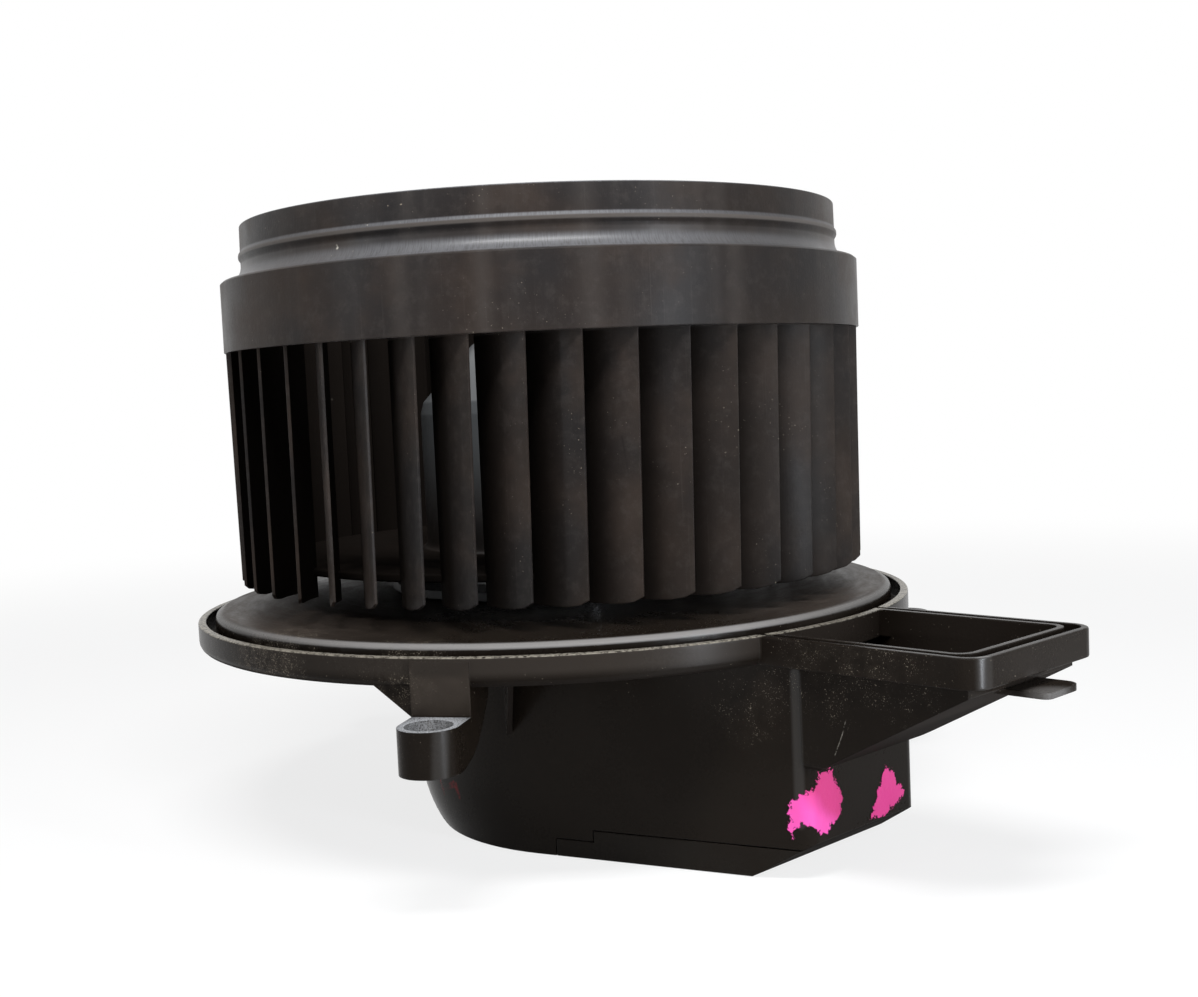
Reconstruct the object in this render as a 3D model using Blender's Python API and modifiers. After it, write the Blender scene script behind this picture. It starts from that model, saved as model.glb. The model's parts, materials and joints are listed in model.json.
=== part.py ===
# Car cabin blower: a squirrel-cage wheel on a flanged housing with a cooling-air duct and a motor chamber.
# Metres, +Z up. The origin is on the wheel's axis, in the flat underside that the housing rests on.
# The duct points along +X.

import bpy
import bmesh
from math import acos, asin, atan2, cos, hypot, pi, radians, sin, sqrt, tan
from mathutils import Matrix, Vector

# Fits
SEAT_GAP = 0.0003          # between pieces that touch
MERGE = 0.00002            # merge distance of turned shapes

# Wheel, blades
TIP_RADIUS = 0.0775        # over the blade tips
BLADE_COUNT = 42
BLADE_ARC_RADIUS = 0.0275  # forward-curved blade
BLADE_TIP_ANGLE = radians(60.0)     # blade to radial line, at the tip
BLADE_ROOT_ANGLE = radians(22.0)    # blade to radial line, at the inner end
BLADE_THICKNESS = 0.0012
BLADE_HEIGHT = 0.0565      # free height under the shroud band
BLADE_DRAFT = 0.0006       # tips stand this much further in at the lower end
BLADE_CORNER_RUN = 0.0032  # cut lower outer corner, inwards
BLADE_CORNER_RISE = 0.0016
BLADE_PHASE = radians(-37.2)        # azimuth of one blade tip

# Wheel, collar and band
BAND_PROUD = 0.0004        # band outside the blade tips
BAND_WALL = 0.0015
BAND_HEIGHT = 0.0164
COLLAR_RADIUS = 0.0728
COLLAR_WALL = 0.0013
COLLAR_HEIGHT = 0.0135     # above the band
COVE_HEIGHT = 0.0060       # hollow curve between collar and band
COVE_RUN = 0.0017
STEP_DROP = 0.0016         # slope from the cove out to the band

# Wheel, hub
HUB_WALL = 0.0018
HUB_CAN_GAP = 0.0017       # hub cup to motor can, running
HUB_DISC_RISE = 0.0067     # hub disc top above the blades' lower ends
HUB_DISC_OVERLAP = 0.0022  # hub disc into the blades
HUB_HEADROOM = 0.0244      # hub top above the motor can's shoulder
HUB_TOP_FLAT = 0.0130      # radius of the flat hub top
HUB_SHOULDER_DROP = 0.0031
HUB_SHOULDER_RADIUS = 0.0180
HUB_FLANK_ANGLE = radians(48.0)
HUB_BOSS_WALL = 0.0038
HUB_BOSS_LENGTH = 0.0154
WHEEL_GAP = 0.0034         # blades to housing disc, running

# Shaft and hub metalwork
SHAFT_RADIUS = 0.0030
SHAFT_PROUD = 0.0030       # above the hub top
INSERT_WALL = 0.0018
CLIP_RADIUS = 0.0068
CLIP_THICKNESS = 0.0008

# Motor
CAN_RADIUS = 0.0280
CAN_WALL = 0.0016
CAN_LENGTH = 0.0720
CAN_NOSE_HEIGHT = 0.0056
CAN_NOSE_RADIUS = 0.0086
BEARING_RADIUS = 0.0062
BEARING_LENGTH = 0.0053
ARMATURE_RADIUS = 0.0172
ARMATURE_SLOTS = 8
SLOT_WIDTH = 0.0042
SLOT_FLOOR_RADIUS = 0.0095
MAGNET_AIR_GAP = 0.0009
MAGNET_ARC = radians(128.0)
MAGNET_OVERHANG = 0.0020   # magnet past the core, each end
WINDING_OVERHANG = 0.0070
WINDING_RADIUS = 0.0158
TOP_SPACE = 0.0074         # winding to the can's inner shoulder
BRUSH_ZONE = 0.0130        # brush plate to the winding
COMMUTATOR_RADIUS = 0.0100
COMMUTATOR_LENGTH = 0.0105
COMMUTATOR_FOOT = 0.0008
COMMUTATOR_SEGMENTS = 8
BRUSH_WIDTH = 0.0050
BRUSH_HEIGHT = 0.0080
BRUSH_LENGTH = 0.0085
HOLDER_WALL = 0.0006
HOLDER_START = 0.0015      # commutator to brush holder
SPRING_LENGTH = 0.0024
SPRING_RADIUS = 0.0017
SPRING_WIRE = 0.00025      # radius
SPRING_TURNS = 2

# Motor end cap
CAP_PLATE = 0.0020
CAP_FLANGE = 0.0017
CAP_SEAT_WALL = 0.0023
CAP_SEAT_FLOOR = 0.0015
CAP_FOOT_HEIGHT = 0.0060
CAP_FOOT_RADIUS = 0.0045
CAP_FOOT_CIRCLE = 0.0165
CAP_SLOT_INNER = 0.0125    # air slots in the brush plate
CAP_SLOT_OUTER = 0.0158
LEAD_POST = 0.0050

# Rubber
FOOT_RUBBER_HEIGHT = 0.0080
RING_LENGTH = 0.0100

# Housing, flange
FLANGE_TOP = 0.0506        # lip top above the rest face
LIP_RADIUS = 0.0878
LIP_WALL = 0.0018
LIP_HEIGHT = 0.0062
GROOVE_WIDTH = 0.0023
GROOVE_DEPTH = 0.0042
DISC_RIM_RISE = 0.0016     # disc rim above the lip
DISC_CROWN = 0.0038        # disc centre above the lip
DISC_THICKNESS = 0.0028
CHANNEL_WALL = 0.0019      # inner wall under the groove
COLLAR_TUBE_WALL = 0.0020
COLLAR_TUBE_LIP = 0.0024

# Housing, motor chamber
CHAMBER_WALL = 0.0020
CHAMBER_FLOOR = 0.0022
CHAMBER_END = 0.0933       # end wall under the duct
CHAMBER_END_HALF = 0.0188
CHAMBER_FLARE = radians(19.66)      # side walls open towards the motor
CHAMBER_SIDE_RADIUS = 0.0550
CHAMBER_BACK_RADIUS = 0.0348        # round the motor
CHAMBER_CORNER = 0.0038
FILLET_HEIGHT = 0.0120     # rounded lower edge at the back
FILLET_BACK_RUN = 0.0100
FILLET_SIDE_RUN = 0.0110
SHELL_TOP_DROP = 0.0024    # chamber's closed top under the disc surface

# Housing, cooling-air duct
DUCT_LIP_END = 0.1353
DUCT_LIP_HALF = 0.0226
DUCT_LIP_WALL = 0.0014
DUCT_LIP_HEIGHT = 0.0060
DUCT_LIP_CORNER = 0.0052
DUCT_GROOVE_SIDE = 0.0016
DUCT_GROOVE_END = 0.0028
DUCT_WALL = 0.0013
DUCT_MOUTH_FLOOR = 0.0022  # duct floor under the lip, at the far end
DUCT_FLOOR_DROP = 0.0211   # duct floor under the lip, at the chamber
DUCT_FLOOR_KNEE = 0.0958   # where the floor levels out
DUCT_FLOOR_PLATE = 0.0017
DUCT_ROOF_RISE = 0.0002    # air way cut into the lip's underside
DUCT_FLOOR_CORNER = 0.0016 # between floor and side walls
DUCT_MOUTH_CORNER = 0.0030

# Lower cover
COVER_INNER_END = 0.0380
COVER_STEP_END = 0.0466
COVER_HEIGHT = 0.0065
COVER_STEP_HEIGHT = 0.0040
COVER_WALL = 0.0018
COVER_TONGUE = 0.0014
COVER_TONGUE_RISE = 0.0034
COVER_SLANT_RUN = 0.0122    # cut lower edge of the end, also across the housing
COVER_SLANT_RISE = 0.0075

# Screw lugs
LUG_ANGLES = (radians(-58.4), radians(58.4), radians(180.0))
LUG_WIDTH = 0.0124
LUG_PROUD = 0.0133         # ledge past the strap
LUG_DROP = 0.0118          # ledge under the lip top
LUG_THICKNESS = 0.0092
LUG_HOLE_RADIUS = 0.0027
LUG_SINK_RADIUS = 0.0048
LUG_SINK_DEPTH = 0.0022
LUG_WEB_REACH = 0.0120

# Ribs and tab
RIB_THICKNESS = 0.0012
RIB_REACH = 0.0200
RIB_DROP = 0.0280
RIB_POINTS = ((0.0270, -0.0410, radians(-38.0)), (0.0000, -0.0400, radians(-90.0)))
TAB_REACH = 0.0090
TAB_HALF = 0.0065
TAB_THICKNESS = 0.0012

# Retainer and screws
RETAINER_RADIUS = 0.0405
RETAINER_THICKNESS = 0.0020
RETAINER_SKIRT = 0.0040
SCREW_CIRCLE = 0.0366
SCREW_RADIUS = 0.0013
SCREW_HEAD_RADIUS = 0.0029
SCREW_HEAD_HEIGHT = 0.0020
SCREW_LENGTH = 0.0100
BOSS_RADIUS = 0.0034
BOSS_LENGTH = 0.0075
SCREW_ANGLES = (radians(90.0), radians(210.0), radians(330.0))

# Electrical connection, on the far side wall
PLUG_ALONG = 0.0480        # from the wall's foot point, towards the duct
PLUG_HEIGHT = 0.0228
PLUG_WIDTH = 0.0170
PLUG_TALL = 0.0110
PLUG_WALL = 0.0015
PLUG_DEPTH = 0.0130
PLUG_FLANGE = 0.0020
PLUG_FLANGE_THICKNESS = 0.0018
PLUG_STUB = 0.0060
TERMINAL_WIDTH = 0.0040
TERMINAL_THICKNESS = 0.0008
TERMINAL_PITCH = 0.0076
TERMINAL_PROUD = 0.0080
LEAD_RADIUS = 0.0011

# Facets
WHEEL_STEPS = BLADE_COUNT
HUB_STEPS = 28
FLANGE_STEPS = 48
MOTOR_STEPS = 20
SMALL_STEPS = 10

# Worked out from the sizes above
DISC_TOP = FLANGE_TOP + DISC_CROWN
BLADE_BOTTOM = DISC_TOP + WHEEL_GAP
BAND_BOTTOM = BLADE_BOTTOM + BLADE_HEIGHT
BAND_TOP = BAND_BOTTOM + BAND_HEIGHT
HUB_DISC_TOP = BLADE_BOTTOM + HUB_DISC_RISE
FOOT_RUBBER_BOTTOM = CHAMBER_FLOOR + SEAT_GAP
FOOT_RUBBER_TOP = FOOT_RUBBER_BOTTOM + FOOT_RUBBER_HEIGHT
CAP_FLANGE_BOTTOM = FOOT_RUBBER_TOP + SEAT_GAP + CAP_FOOT_HEIGHT
CAN_BOTTOM = CAP_FLANGE_BOTTOM + CAP_FLANGE + SEAT_GAP
CAN_TOP = CAN_BOTTOM + CAN_LENGTH
PLATE_BOTTOM = CAN_BOTTOM
PLATE_TOP = PLATE_BOTTOM + CAP_PLATE
HUB_TOP = CAN_TOP + HUB_HEADROOM
HUB_INNER_RADIUS = CAN_RADIUS + HUB_CAN_GAP
HUB_RADIUS = HUB_INNER_RADIUS + HUB_WALL
INSERT_BORE = SHAFT_RADIUS + SEAT_GAP
INSERT_RADIUS = INSERT_BORE + INSERT_WALL
HUB_BORE = INSERT_RADIUS + SEAT_GAP
BEARING_BORE = SHAFT_RADIUS + SEAT_GAP
SEAT_RADIUS = BEARING_RADIUS + SEAT_GAP
CAN_INNER = CAN_RADIUS - CAN_WALL
WINDING_BOTTOM = PLATE_TOP + BRUSH_ZONE
CORE_BOTTOM = WINDING_BOTTOM + WINDING_OVERHANG
CORE_TOP = CAN_TOP - CAN_WALL - TOP_SPACE - WINDING_OVERHANG
COMMUTATOR_BOTTOM = PLATE_TOP + COMMUTATOR_FOOT
SHAFT_BOTTOM = PLATE_BOTTOM - BEARING_LENGTH - SEAT_GAP
COLLAR_BORE = HUB_RADIUS + SEAT_GAP
DISC_UNDER = DISC_TOP - DISC_THICKNESS
RIM_INNER = LIP_RADIUS - LIP_WALL - GROOVE_WIDTH
SHELL_TOP = DISC_TOP - SHELL_TOP_DROP
RING_BOTTOM = DISC_TOP - RETAINER_SKIRT - SEAT_GAP - RING_LENGTH
DUCT_INNER_HALF = DUCT_LIP_HALF - DUCT_LIP_WALL - DUCT_GROOVE_SIDE
DUCT_END = DUCT_LIP_END - DUCT_LIP_WALL - DUCT_GROOVE_END
LIP_BOTTOM = FLANGE_TOP - LIP_HEIGHT


def clear_scene():
    for item in list(bpy.data.objects):
        bpy.data.objects.remove(item, do_unlink=True)


def new_collection(name):
    group = bpy.data.collections.new(name)
    bpy.context.scene.collection.children.link(group)
    return group


def finish(name, colour, roughness, metallic=0.0):
    material = bpy.data.materials.new(name)
    material.use_nodes = True
    shader = material.node_tree.nodes["Principled BSDF"]
    shader.inputs["Base Color"].default_value = (*colour, 1.0)
    shader.inputs["Roughness"].default_value = roughness
    shader.inputs["Metallic"].default_value = metallic
    material.diffuse_color = (*colour, 1.0)
    return material


def add_object(name, mesh, material=None):
    item = bpy.data.objects.new(name, mesh)
    if material is None:
        CUTTERS.objects.link(item)
        item.hide_render = True
        item.display_type = "WIRE"
    else:
        PARTS.objects.link(item)
        mesh.materials.append(material)
    return item


def from_bmesh(name, shape, material=None):
    bmesh.ops.recalc_face_normals(shape, faces=shape.faces)
    mesh = bpy.data.meshes.new(name)
    shape.to_mesh(mesh)
    shape.free()
    return add_object(name, mesh, material)


def smooth(item, angle=radians(32.0)):
    item.data.shade_smooth()
    item.data.set_sharp_from_angle(angle=angle)


def boolean(item, other, operation="DIFFERENCE"):
    step = item.modifiers.new(operation.title() + " " + other.name, "BOOLEAN")
    step.operation = operation
    step.object = other
    step.solver = "EXACT"
    return step


# Turned shapes. The profile is a list of (radius, height), down the outer side and up the inner one.
def turned(name, profile, steps, material=None, closed=True):
    mesh = bpy.data.meshes.new(name)
    points = [(radius, 0.0, height) for radius, height in profile]
    edges = [(index, index + 1) for index in range(len(points) - 1)]
    if closed:
        edges.append((len(points) - 1, 0))
    mesh.from_pydata(points, edges, [])
    item = add_object(name, mesh, material)
    screw = item.modifiers.new("Turn", "SCREW")
    screw.angle = 2.0 * pi
    screw.steps = steps
    screw.render_steps = steps
    screw.use_merge_vertices = True
    screw.merge_threshold = MERGE
    screw.use_smooth_shade = True
    return item


def ring(name, inner, outer, bottom, top, steps, material=None):
    return turned(name, [(inner, top), (outer, top), (outer, bottom), (inner, bottom)], steps, material)


def rod(name, radius, bottom, top, steps, material=None):
    profile = [(0.0, top), (radius, top), (radius, bottom), (0.0, bottom)]
    return turned(name, profile, steps, material, closed=False)


# Prisms and lofts
def prism(name, outline, low, high, material=None, axes="XY"):
    shape = bmesh.new()
    base = []
    for first, second in outline:
        spot = Vector((first, second, low)) if axes == "XY" else Vector((first, low, second))
        base.append(shape.verts.new(spot))
    face = shape.faces.new(base)
    lift = Vector((0.0, 0.0, high - low)) if axes == "XY" else Vector((0.0, high - low, 0.0))
    grown = bmesh.ops.extrude_face_region(shape, geom=[face])
    moved = [part for part in grown["geom"] if isinstance(part, bmesh.types.BMVert)]
    bmesh.ops.translate(shape, verts=moved, vec=lift)
    return from_bmesh(name, shape, material)


def box(name, low, high, material=None):
    outline = [(low[0], low[1]), (high[0], low[1]), (high[0], high[1]), (low[0], high[1])]
    return prism(name, outline, low[2], high[2], material)


def add_loft(shape, sections):
    rings = [[shape.verts.new(point) for point in section] for section in sections]
    count = len(rings[0])
    for lower, upper in zip(rings, rings[1:]):
        for index in range(count):
            after = (index + 1) % count
            shape.faces.new((lower[index], lower[after], upper[after], upper[index]))
    shape.faces.new(list(reversed(rings[0])))
    shape.faces.new(rings[-1])


def loft(name, sections, material=None):
    shape = bmesh.new()
    add_loft(shape, sections)
    return from_bmesh(name, shape, material)


def rounded(corners, steps=3):
    """Outline through corners of (x, y, radius), each radius made with an arc."""
    outline = []
    for index, (x, y, radius) in enumerate(corners):
        here = Vector((x, y))
        before = Vector(corners[index - 1][:2]) - here
        after = Vector(corners[(index + 1) % len(corners)][:2]) - here
        if radius <= 0.0:
            outline.append((x, y))
            continue
        before.normalize()
        after.normalize()
        half = acos(max(-1.0, min(1.0, before.dot(after)))) / 2.0
        centre = here + (before + after).normalized() * (radius / sin(half))
        start = here + before * (radius / tan(half)) - centre
        end = here + after * (radius / tan(half)) - centre
        first = atan2(start.y, start.x)
        sweep = atan2(end.y, end.x) - first
        sweep = (sweep + pi) % (2.0 * pi) - pi
        for step in range(steps + 1):
            angle = first + sweep * step / steps
            outline.append((centre.x + radius * cos(angle), centre.y + radius * sin(angle)))
    return outline


def placed(item, angle=0.0, spot=(0.0, 0.0, 0.0)):
    item.rotation_euler = (0.0, 0.0, angle)
    item.location = spot
    return item


# Impeller
def blade_section(tip_radius, height):
    """One level of a blade: an arc of even thickness from the inner end to the tip radius."""
    centre_x = TIP_RADIUS - BLADE_ARC_RADIUS * sin(BLADE_TIP_ANGLE)
    centre_y = BLADE_ARC_RADIUS * cos(BLADE_TIP_ANGLE)
    reach = hypot(centre_x, centre_y)
    lean = atan2(centre_y, centre_x)
    # The arc point at angle b lies at centre + R (sin b, -cos b), and its distance from the axis grows with b.
    steps = 3
    path = []
    for radius in (BLADE_ARC_RADIUS + BLADE_THICKNESS / 2.0, BLADE_ARC_RADIUS - BLADE_THICKNESS / 2.0):
        tip_angle = asin((tip_radius ** 2 - reach ** 2 - radius ** 2) / (2.0 * reach * radius)) + lean
        spread = tip_angle - BLADE_ROOT_ANGLE
        side = [(BLADE_ROOT_ANGLE + spread * k / steps, radius) for k in range(steps + 1)]
        path += side if not path else reversed(side)
    return [Vector((centre_x + r * sin(a), centre_y - r * cos(a), height)) for a, r in path]


def blades(name):
    levels = [
        (TIP_RADIUS, BAND_TOP - BAND_WALL * 0.5),
        (TIP_RADIUS - BLADE_DRAFT, BLADE_BOTTOM + BLADE_CORNER_RISE),
        (TIP_RADIUS - BLADE_DRAFT - BLADE_CORNER_RUN, BLADE_BOTTOM),
    ]
    sections = [blade_section(radius, height) for radius, height in levels]
    shape = bmesh.new()
    for index in range(BLADE_COUNT):
        turn = Matrix.Rotation(BLADE_PHASE + 2.0 * pi * index / BLADE_COUNT, 3, "Z")
        add_loft(shape, [[turn @ point for point in section] for section in sections])
    return from_bmesh(name, shape)


def hub(name):
    flank_drop = (HUB_RADIUS - HUB_SHOULDER_RADIUS - 0.0012) * tan(HUB_FLANK_ANGLE)
    flank_end = HUB_TOP - HUB_SHOULDER_DROP - flank_drop
    rim = blade_root_radius() + HUB_DISC_OVERLAP
    underside = HUB_DISC_TOP - HUB_WALL
    inner_flank = flank_end - HUB_WALL * 0.5
    inner_top = HUB_TOP - HUB_WALL
    boss_radius = HUB_BORE + HUB_BOSS_WALL
    profile = [
        (HUB_BORE, HUB_TOP),
        (HUB_TOP_FLAT, HUB_TOP),
        (HUB_SHOULDER_RADIUS, HUB_TOP - HUB_SHOULDER_DROP),
        (HUB_RADIUS - 0.0012, flank_end),
        (HUB_RADIUS, flank_end - 0.0040),
        (HUB_RADIUS, HUB_DISC_TOP),
        (rim, HUB_DISC_TOP),
        (rim, underside),
        (HUB_INNER_RADIUS, underside),
        (HUB_INNER_RADIUS, inner_flank - 0.0036),
        (HUB_SHOULDER_RADIUS - 0.0012, HUB_TOP - HUB_SHOULDER_DROP - HUB_WALL * 1.1),
        (boss_radius, inner_top),
        (boss_radius, HUB_TOP - HUB_BOSS_LENGTH),
        (HUB_BORE, HUB_TOP - HUB_BOSS_LENGTH),
    ]
    return turned(name, profile, HUB_STEPS)


def blade_root_radius():
    root = blade_section(TIP_RADIUS, 0.0)[0]
    return hypot(root.x, root.y)


def impeller():
    band_outer = TIP_RADIUS + BAND_PROUD
    band_inner = band_outer - BAND_WALL
    collar_inner = COLLAR_RADIUS - COLLAR_WALL
    collar_top = BAND_TOP + COLLAR_HEIGHT
    cove_bottom = BAND_TOP + STEP_DROP
    profile = [
        (collar_inner, collar_top),
        (COLLAR_RADIUS, collar_top),
        (COLLAR_RADIUS, cove_bottom + COVE_HEIGHT),
        (COLLAR_RADIUS + 0.22 * COVE_RUN, cove_bottom + 0.45 * COVE_HEIGHT),
        (COLLAR_RADIUS + COVE_RUN, cove_bottom),
        (band_outer - 0.0009, BAND_TOP + 0.0007),
        (band_outer, BAND_TOP),
        (band_outer, BAND_BOTTOM),
        (band_inner, BAND_BOTTOM),
        (band_inner, BAND_TOP - BAND_WALL - 0.0004),
        (collar_inner + COVE_RUN, BAND_TOP - BAND_WALL + 0.0004),
        (collar_inner, cove_bottom + COVE_HEIGHT - COLLAR_WALL),
    ]
    wheel = turned("impeller", profile, WHEEL_STEPS, WHEEL_PLASTIC)
    boolean(wheel, blades("blade set"), "UNION")
    boolean(wheel, hub("hub form"), "UNION")
    return wheel


def shaft_parts():
    clip_bottom = HUB_TOP + SEAT_GAP
    shaft = rod("motor_shaft", SHAFT_RADIUS, SHAFT_BOTTOM, HUB_TOP + SHAFT_PROUD, SMALL_STEPS, STEEL)
    insert_bottom = HUB_TOP - HUB_BOSS_LENGTH
    insert = ring("hub_insert", INSERT_BORE, INSERT_RADIUS, insert_bottom, HUB_TOP, SMALL_STEPS, BRASS)
    clip = turned("shaft_clip", [
        (INSERT_BORE, clip_bottom + CLIP_THICKNESS + 0.0006),
        (INSERT_BORE + 0.0012, clip_bottom + CLIP_THICKNESS),
        (CLIP_RADIUS, clip_bottom + CLIP_THICKNESS),
        (CLIP_RADIUS, clip_bottom),
        (INSERT_BORE, clip_bottom),
    ], SMALL_STEPS, STEEL)
    return [shaft, insert, clip]


# Motor, turning pieces
def slotted_outline():
    """Armature plate: teeth with broad tips between straight slots."""
    pitch = 2.0 * pi / ARMATURE_SLOTS
    mouth = SLOT_WIDTH * 0.3 / ARMATURE_RADIUS
    neck = ARMATURE_RADIUS - 0.0018
    half = SLOT_WIDTH / 2.0
    outline = []
    for index in range(ARMATURE_SLOTS):
        middle = index * pitch
        path = [
            (ARMATURE_RADIUS, -pitch / 2.0 + mouth),
            (ARMATURE_RADIUS, 0.0),
            (ARMATURE_RADIUS, pitch / 2.0 - mouth),
            (neck, pitch / 2.0 - half / neck),
            (SLOT_FLOOR_RADIUS, pitch / 2.0 - 0.5 * half / SLOT_FLOOR_RADIUS),
            (SLOT_FLOOR_RADIUS, pitch / 2.0 + 0.5 * half / SLOT_FLOOR_RADIUS),
            (neck, pitch / 2.0 + half / neck),
        ]
        outline += [(r * cos(middle + a), r * sin(middle + a)) for r, a in path]
    return outline


def armature():
    core = prism("armature_core", slotted_outline(), CORE_BOTTOM, CORE_TOP, LAMINATION)
    boolean(core, rod("core bore", SHAFT_RADIUS + SEAT_GAP, CORE_BOTTOM - 0.001, CORE_TOP + 0.001, SMALL_STEPS))
    bore = SHAFT_RADIUS + 0.0012
    end_gap = SEAT_GAP
    top = CORE_TOP + end_gap + WINDING_OVERHANG
    windings = ring("armature_windings", bore, WINDING_RADIUS, WINDING_BOTTOM, top, MOTOR_STEPS, COPPER)
    gap_cut = ring("core space", bore - 0.001, WINDING_RADIUS + 0.001, CORE_BOTTOM - end_gap,
                   CORE_TOP + end_gap, MOTOR_STEPS)
    boolean(windings, gap_cut)
    boolean(windings, slot_bars("slot bars"), "UNION")
    return [core, windings]


def slot_bars(name):
    """Copper in the slots, clear of the iron, and running into both end bundles."""
    pitch = 2.0 * pi / ARMATURE_SLOTS
    outer = ARMATURE_RADIUS - 0.0024
    inner = SLOT_FLOOR_RADIUS + SEAT_GAP + 0.0002
    wide = SLOT_WIDTH / 2.0 - SEAT_GAP - 0.0004
    narrow = SLOT_WIDTH / 4.0 - SEAT_GAP
    shape = bmesh.new()
    for index in range(ARMATURE_SLOTS):
        turn = Matrix.Rotation(pitch * (index + 0.5), 3, "Z")
        corners = [(inner, -narrow), (outer, -wide), (outer, wide), (inner, narrow)]
        low = CORE_BOTTOM - 0.0012
        high = CORE_TOP + 0.0012
        add_loft(shape, [[turn @ Vector((x, y, z)) for x, y in corners] for z in (low, high)])
    return from_bmesh(name, shape)


def commutator():
    top = COMMUTATOR_BOTTOM + COMMUTATOR_LENGTH
    piece = ring("commutator", SHAFT_RADIUS + SEAT_GAP, COMMUTATOR_RADIUS, COMMUTATOR_BOTTOM, top,
                 2 * COMMUTATOR_SEGMENTS, COPPER)
    shape = bmesh.new()
    for index in range(COMMUTATOR_SEGMENTS):
        turn = Matrix.Rotation(2.0 * pi * (index + 0.5) / COMMUTATOR_SEGMENTS, 3, "Z")
        cut = [(COMMUTATOR_RADIUS - 0.0012, -0.0003), (COMMUTATOR_RADIUS + 0.001, -0.0003),
               (COMMUTATOR_RADIUS + 0.001, 0.0003), (COMMUTATOR_RADIUS - 0.0012, 0.0003)]
        levels = (COMMUTATOR_BOTTOM - 0.001, top + 0.001)
        add_loft(shape, [[turn @ Vector((x, y, z)) for x, y in cut] for z in levels])
    boolean(piece, from_bmesh("segment cuts", shape))
    return piece


# Motor, standing pieces
def motor_can():
    nose_top = CAN_TOP + CAN_NOSE_HEIGHT
    profile = [
        (SHAFT_RADIUS + 0.0008, nose_top),
        (CAN_NOSE_RADIUS, nose_top),
        (CAN_NOSE_RADIUS, CAN_TOP),
        (CAN_RADIUS - 0.0018, CAN_TOP),
        (CAN_RADIUS, CAN_TOP - 0.0018),
        (CAN_RADIUS, CAN_BOTTOM + SEAT_GAP),
        (CAN_INNER, CAN_BOTTOM + SEAT_GAP),
        (CAN_INNER, CAN_TOP - CAN_WALL),
        (SEAT_RADIUS, CAN_TOP - CAN_WALL),
        (SEAT_RADIUS, nose_top - CAN_WALL),
        (SHAFT_RADIUS + 0.0008, nose_top - CAN_WALL),
    ]
    can = turned("motor_can", profile, MOTOR_STEPS, CAN_STEEL)
    for index in range(4):
        window = box("can window %d" % (index + 1), (-0.0030, 0.0125, CAN_TOP - 0.004),
                     (0.0030, CAN_INNER - 0.0044, CAN_TOP + 0.001))
        boolean(can, placed(window, index * pi / 2.0 + pi / 4.0))
    top = CAN_TOP + CAN_NOSE_HEIGHT - CAN_WALL - SEAT_GAP
    upper = ring("upper_bearing", BEARING_BORE, BEARING_RADIUS, top - BEARING_LENGTH, top, SMALL_STEPS, BRONZE)
    lower_bottom = PLATE_BOTTOM - BEARING_LENGTH
    lower = ring("lower_bearing", BEARING_BORE, BEARING_RADIUS, lower_bottom, PLATE_BOTTOM, SMALL_STEPS, BRONZE)
    return [can, upper, lower]


def magnets():
    pieces = []
    outer = (CAN_INNER - SEAT_GAP) * cos(pi / MOTOR_STEPS)
    inner = ARMATURE_RADIUS + MAGNET_AIR_GAP
    steps = 6
    for name, middle in (("magnet_left", pi), ("magnet_right", 0.0)):
        spread = [middle - MAGNET_ARC / 2.0 + MAGNET_ARC * k / steps for k in range(steps + 1)]
        outline = [(outer * cos(a), outer * sin(a)) for a in spread]
        outline += [(inner * cos(a), inner * sin(a)) for a in reversed(spread)]
        low = CORE_BOTTOM - MAGNET_OVERHANG
        pieces.append(prism(name, outline, low, CORE_TOP + MAGNET_OVERHANG, FERRITE))
    return pieces


def end_cap():
    plate_radius = (CAN_INNER - SEAT_GAP) * cos(pi / MOTOR_STEPS)
    flange_top = CAP_FLANGE_BOTTOM + CAP_FLANGE
    seat_outer = SEAT_RADIUS + CAP_SEAT_WALL
    pocket = SHAFT_BOTTOM - SEAT_GAP
    profile = [
        (SEAT_RADIUS, PLATE_TOP),
        (plate_radius, PLATE_TOP),
        (plate_radius, flange_top),
        (CAN_RADIUS, flange_top),
        (CAN_RADIUS, CAP_FLANGE_BOTTOM),
        (plate_radius - 0.0030, CAP_FLANGE_BOTTOM),
        (plate_radius - 0.0030, PLATE_BOTTOM),
        (seat_outer, PLATE_BOTTOM),
        (seat_outer, pocket - CAP_SEAT_FLOOR),
        (0.0, pocket - CAP_SEAT_FLOOR),
        (0.0, pocket),
        (SEAT_RADIUS, pocket),
    ]
    cap = turned("end_cap", profile[9::-1] + profile[:9:-1], MOTOR_STEPS, CAP_PLASTIC)
    for index in range(3):
        slot = arc_slot("plate slot %d" % (index + 1), CAP_SLOT_INNER, CAP_SLOT_OUTER, radians(50.0),
                        PLATE_BOTTOM - 0.001, PLATE_TOP + 0.001)
        boolean(cap, placed(slot, index * 2.0 * pi / 3.0))
    for index in range(3):
        foot = rod("cap foot %d" % (index + 1), CAP_FOOT_RADIUS, FOOT_RUBBER_TOP + SEAT_GAP,
                   PLATE_BOTTOM + 0.0006, SMALL_STEPS)
        boolean(cap, placed(foot, 0.0, foot_spot(index)), "UNION")
    for index in range(2):
        side = 1.0 if index else -1.0
        middle = lead_post_angle(side)
        post = box("lead post %d" % (index + 1), (CAN_RADIUS - 0.0050, -LEAD_POST / 2.0, CAP_FLANGE_BOTTOM
                   - LEAD_POST), (CAN_RADIUS - 0.0006, LEAD_POST / 2.0, CAP_FLANGE_BOTTOM + 0.0006))
        boolean(cap, placed(post, middle), "UNION")
    return cap


def lead_post_angle(side):
    return radians(28.0) + side * radians(9.0)


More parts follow.
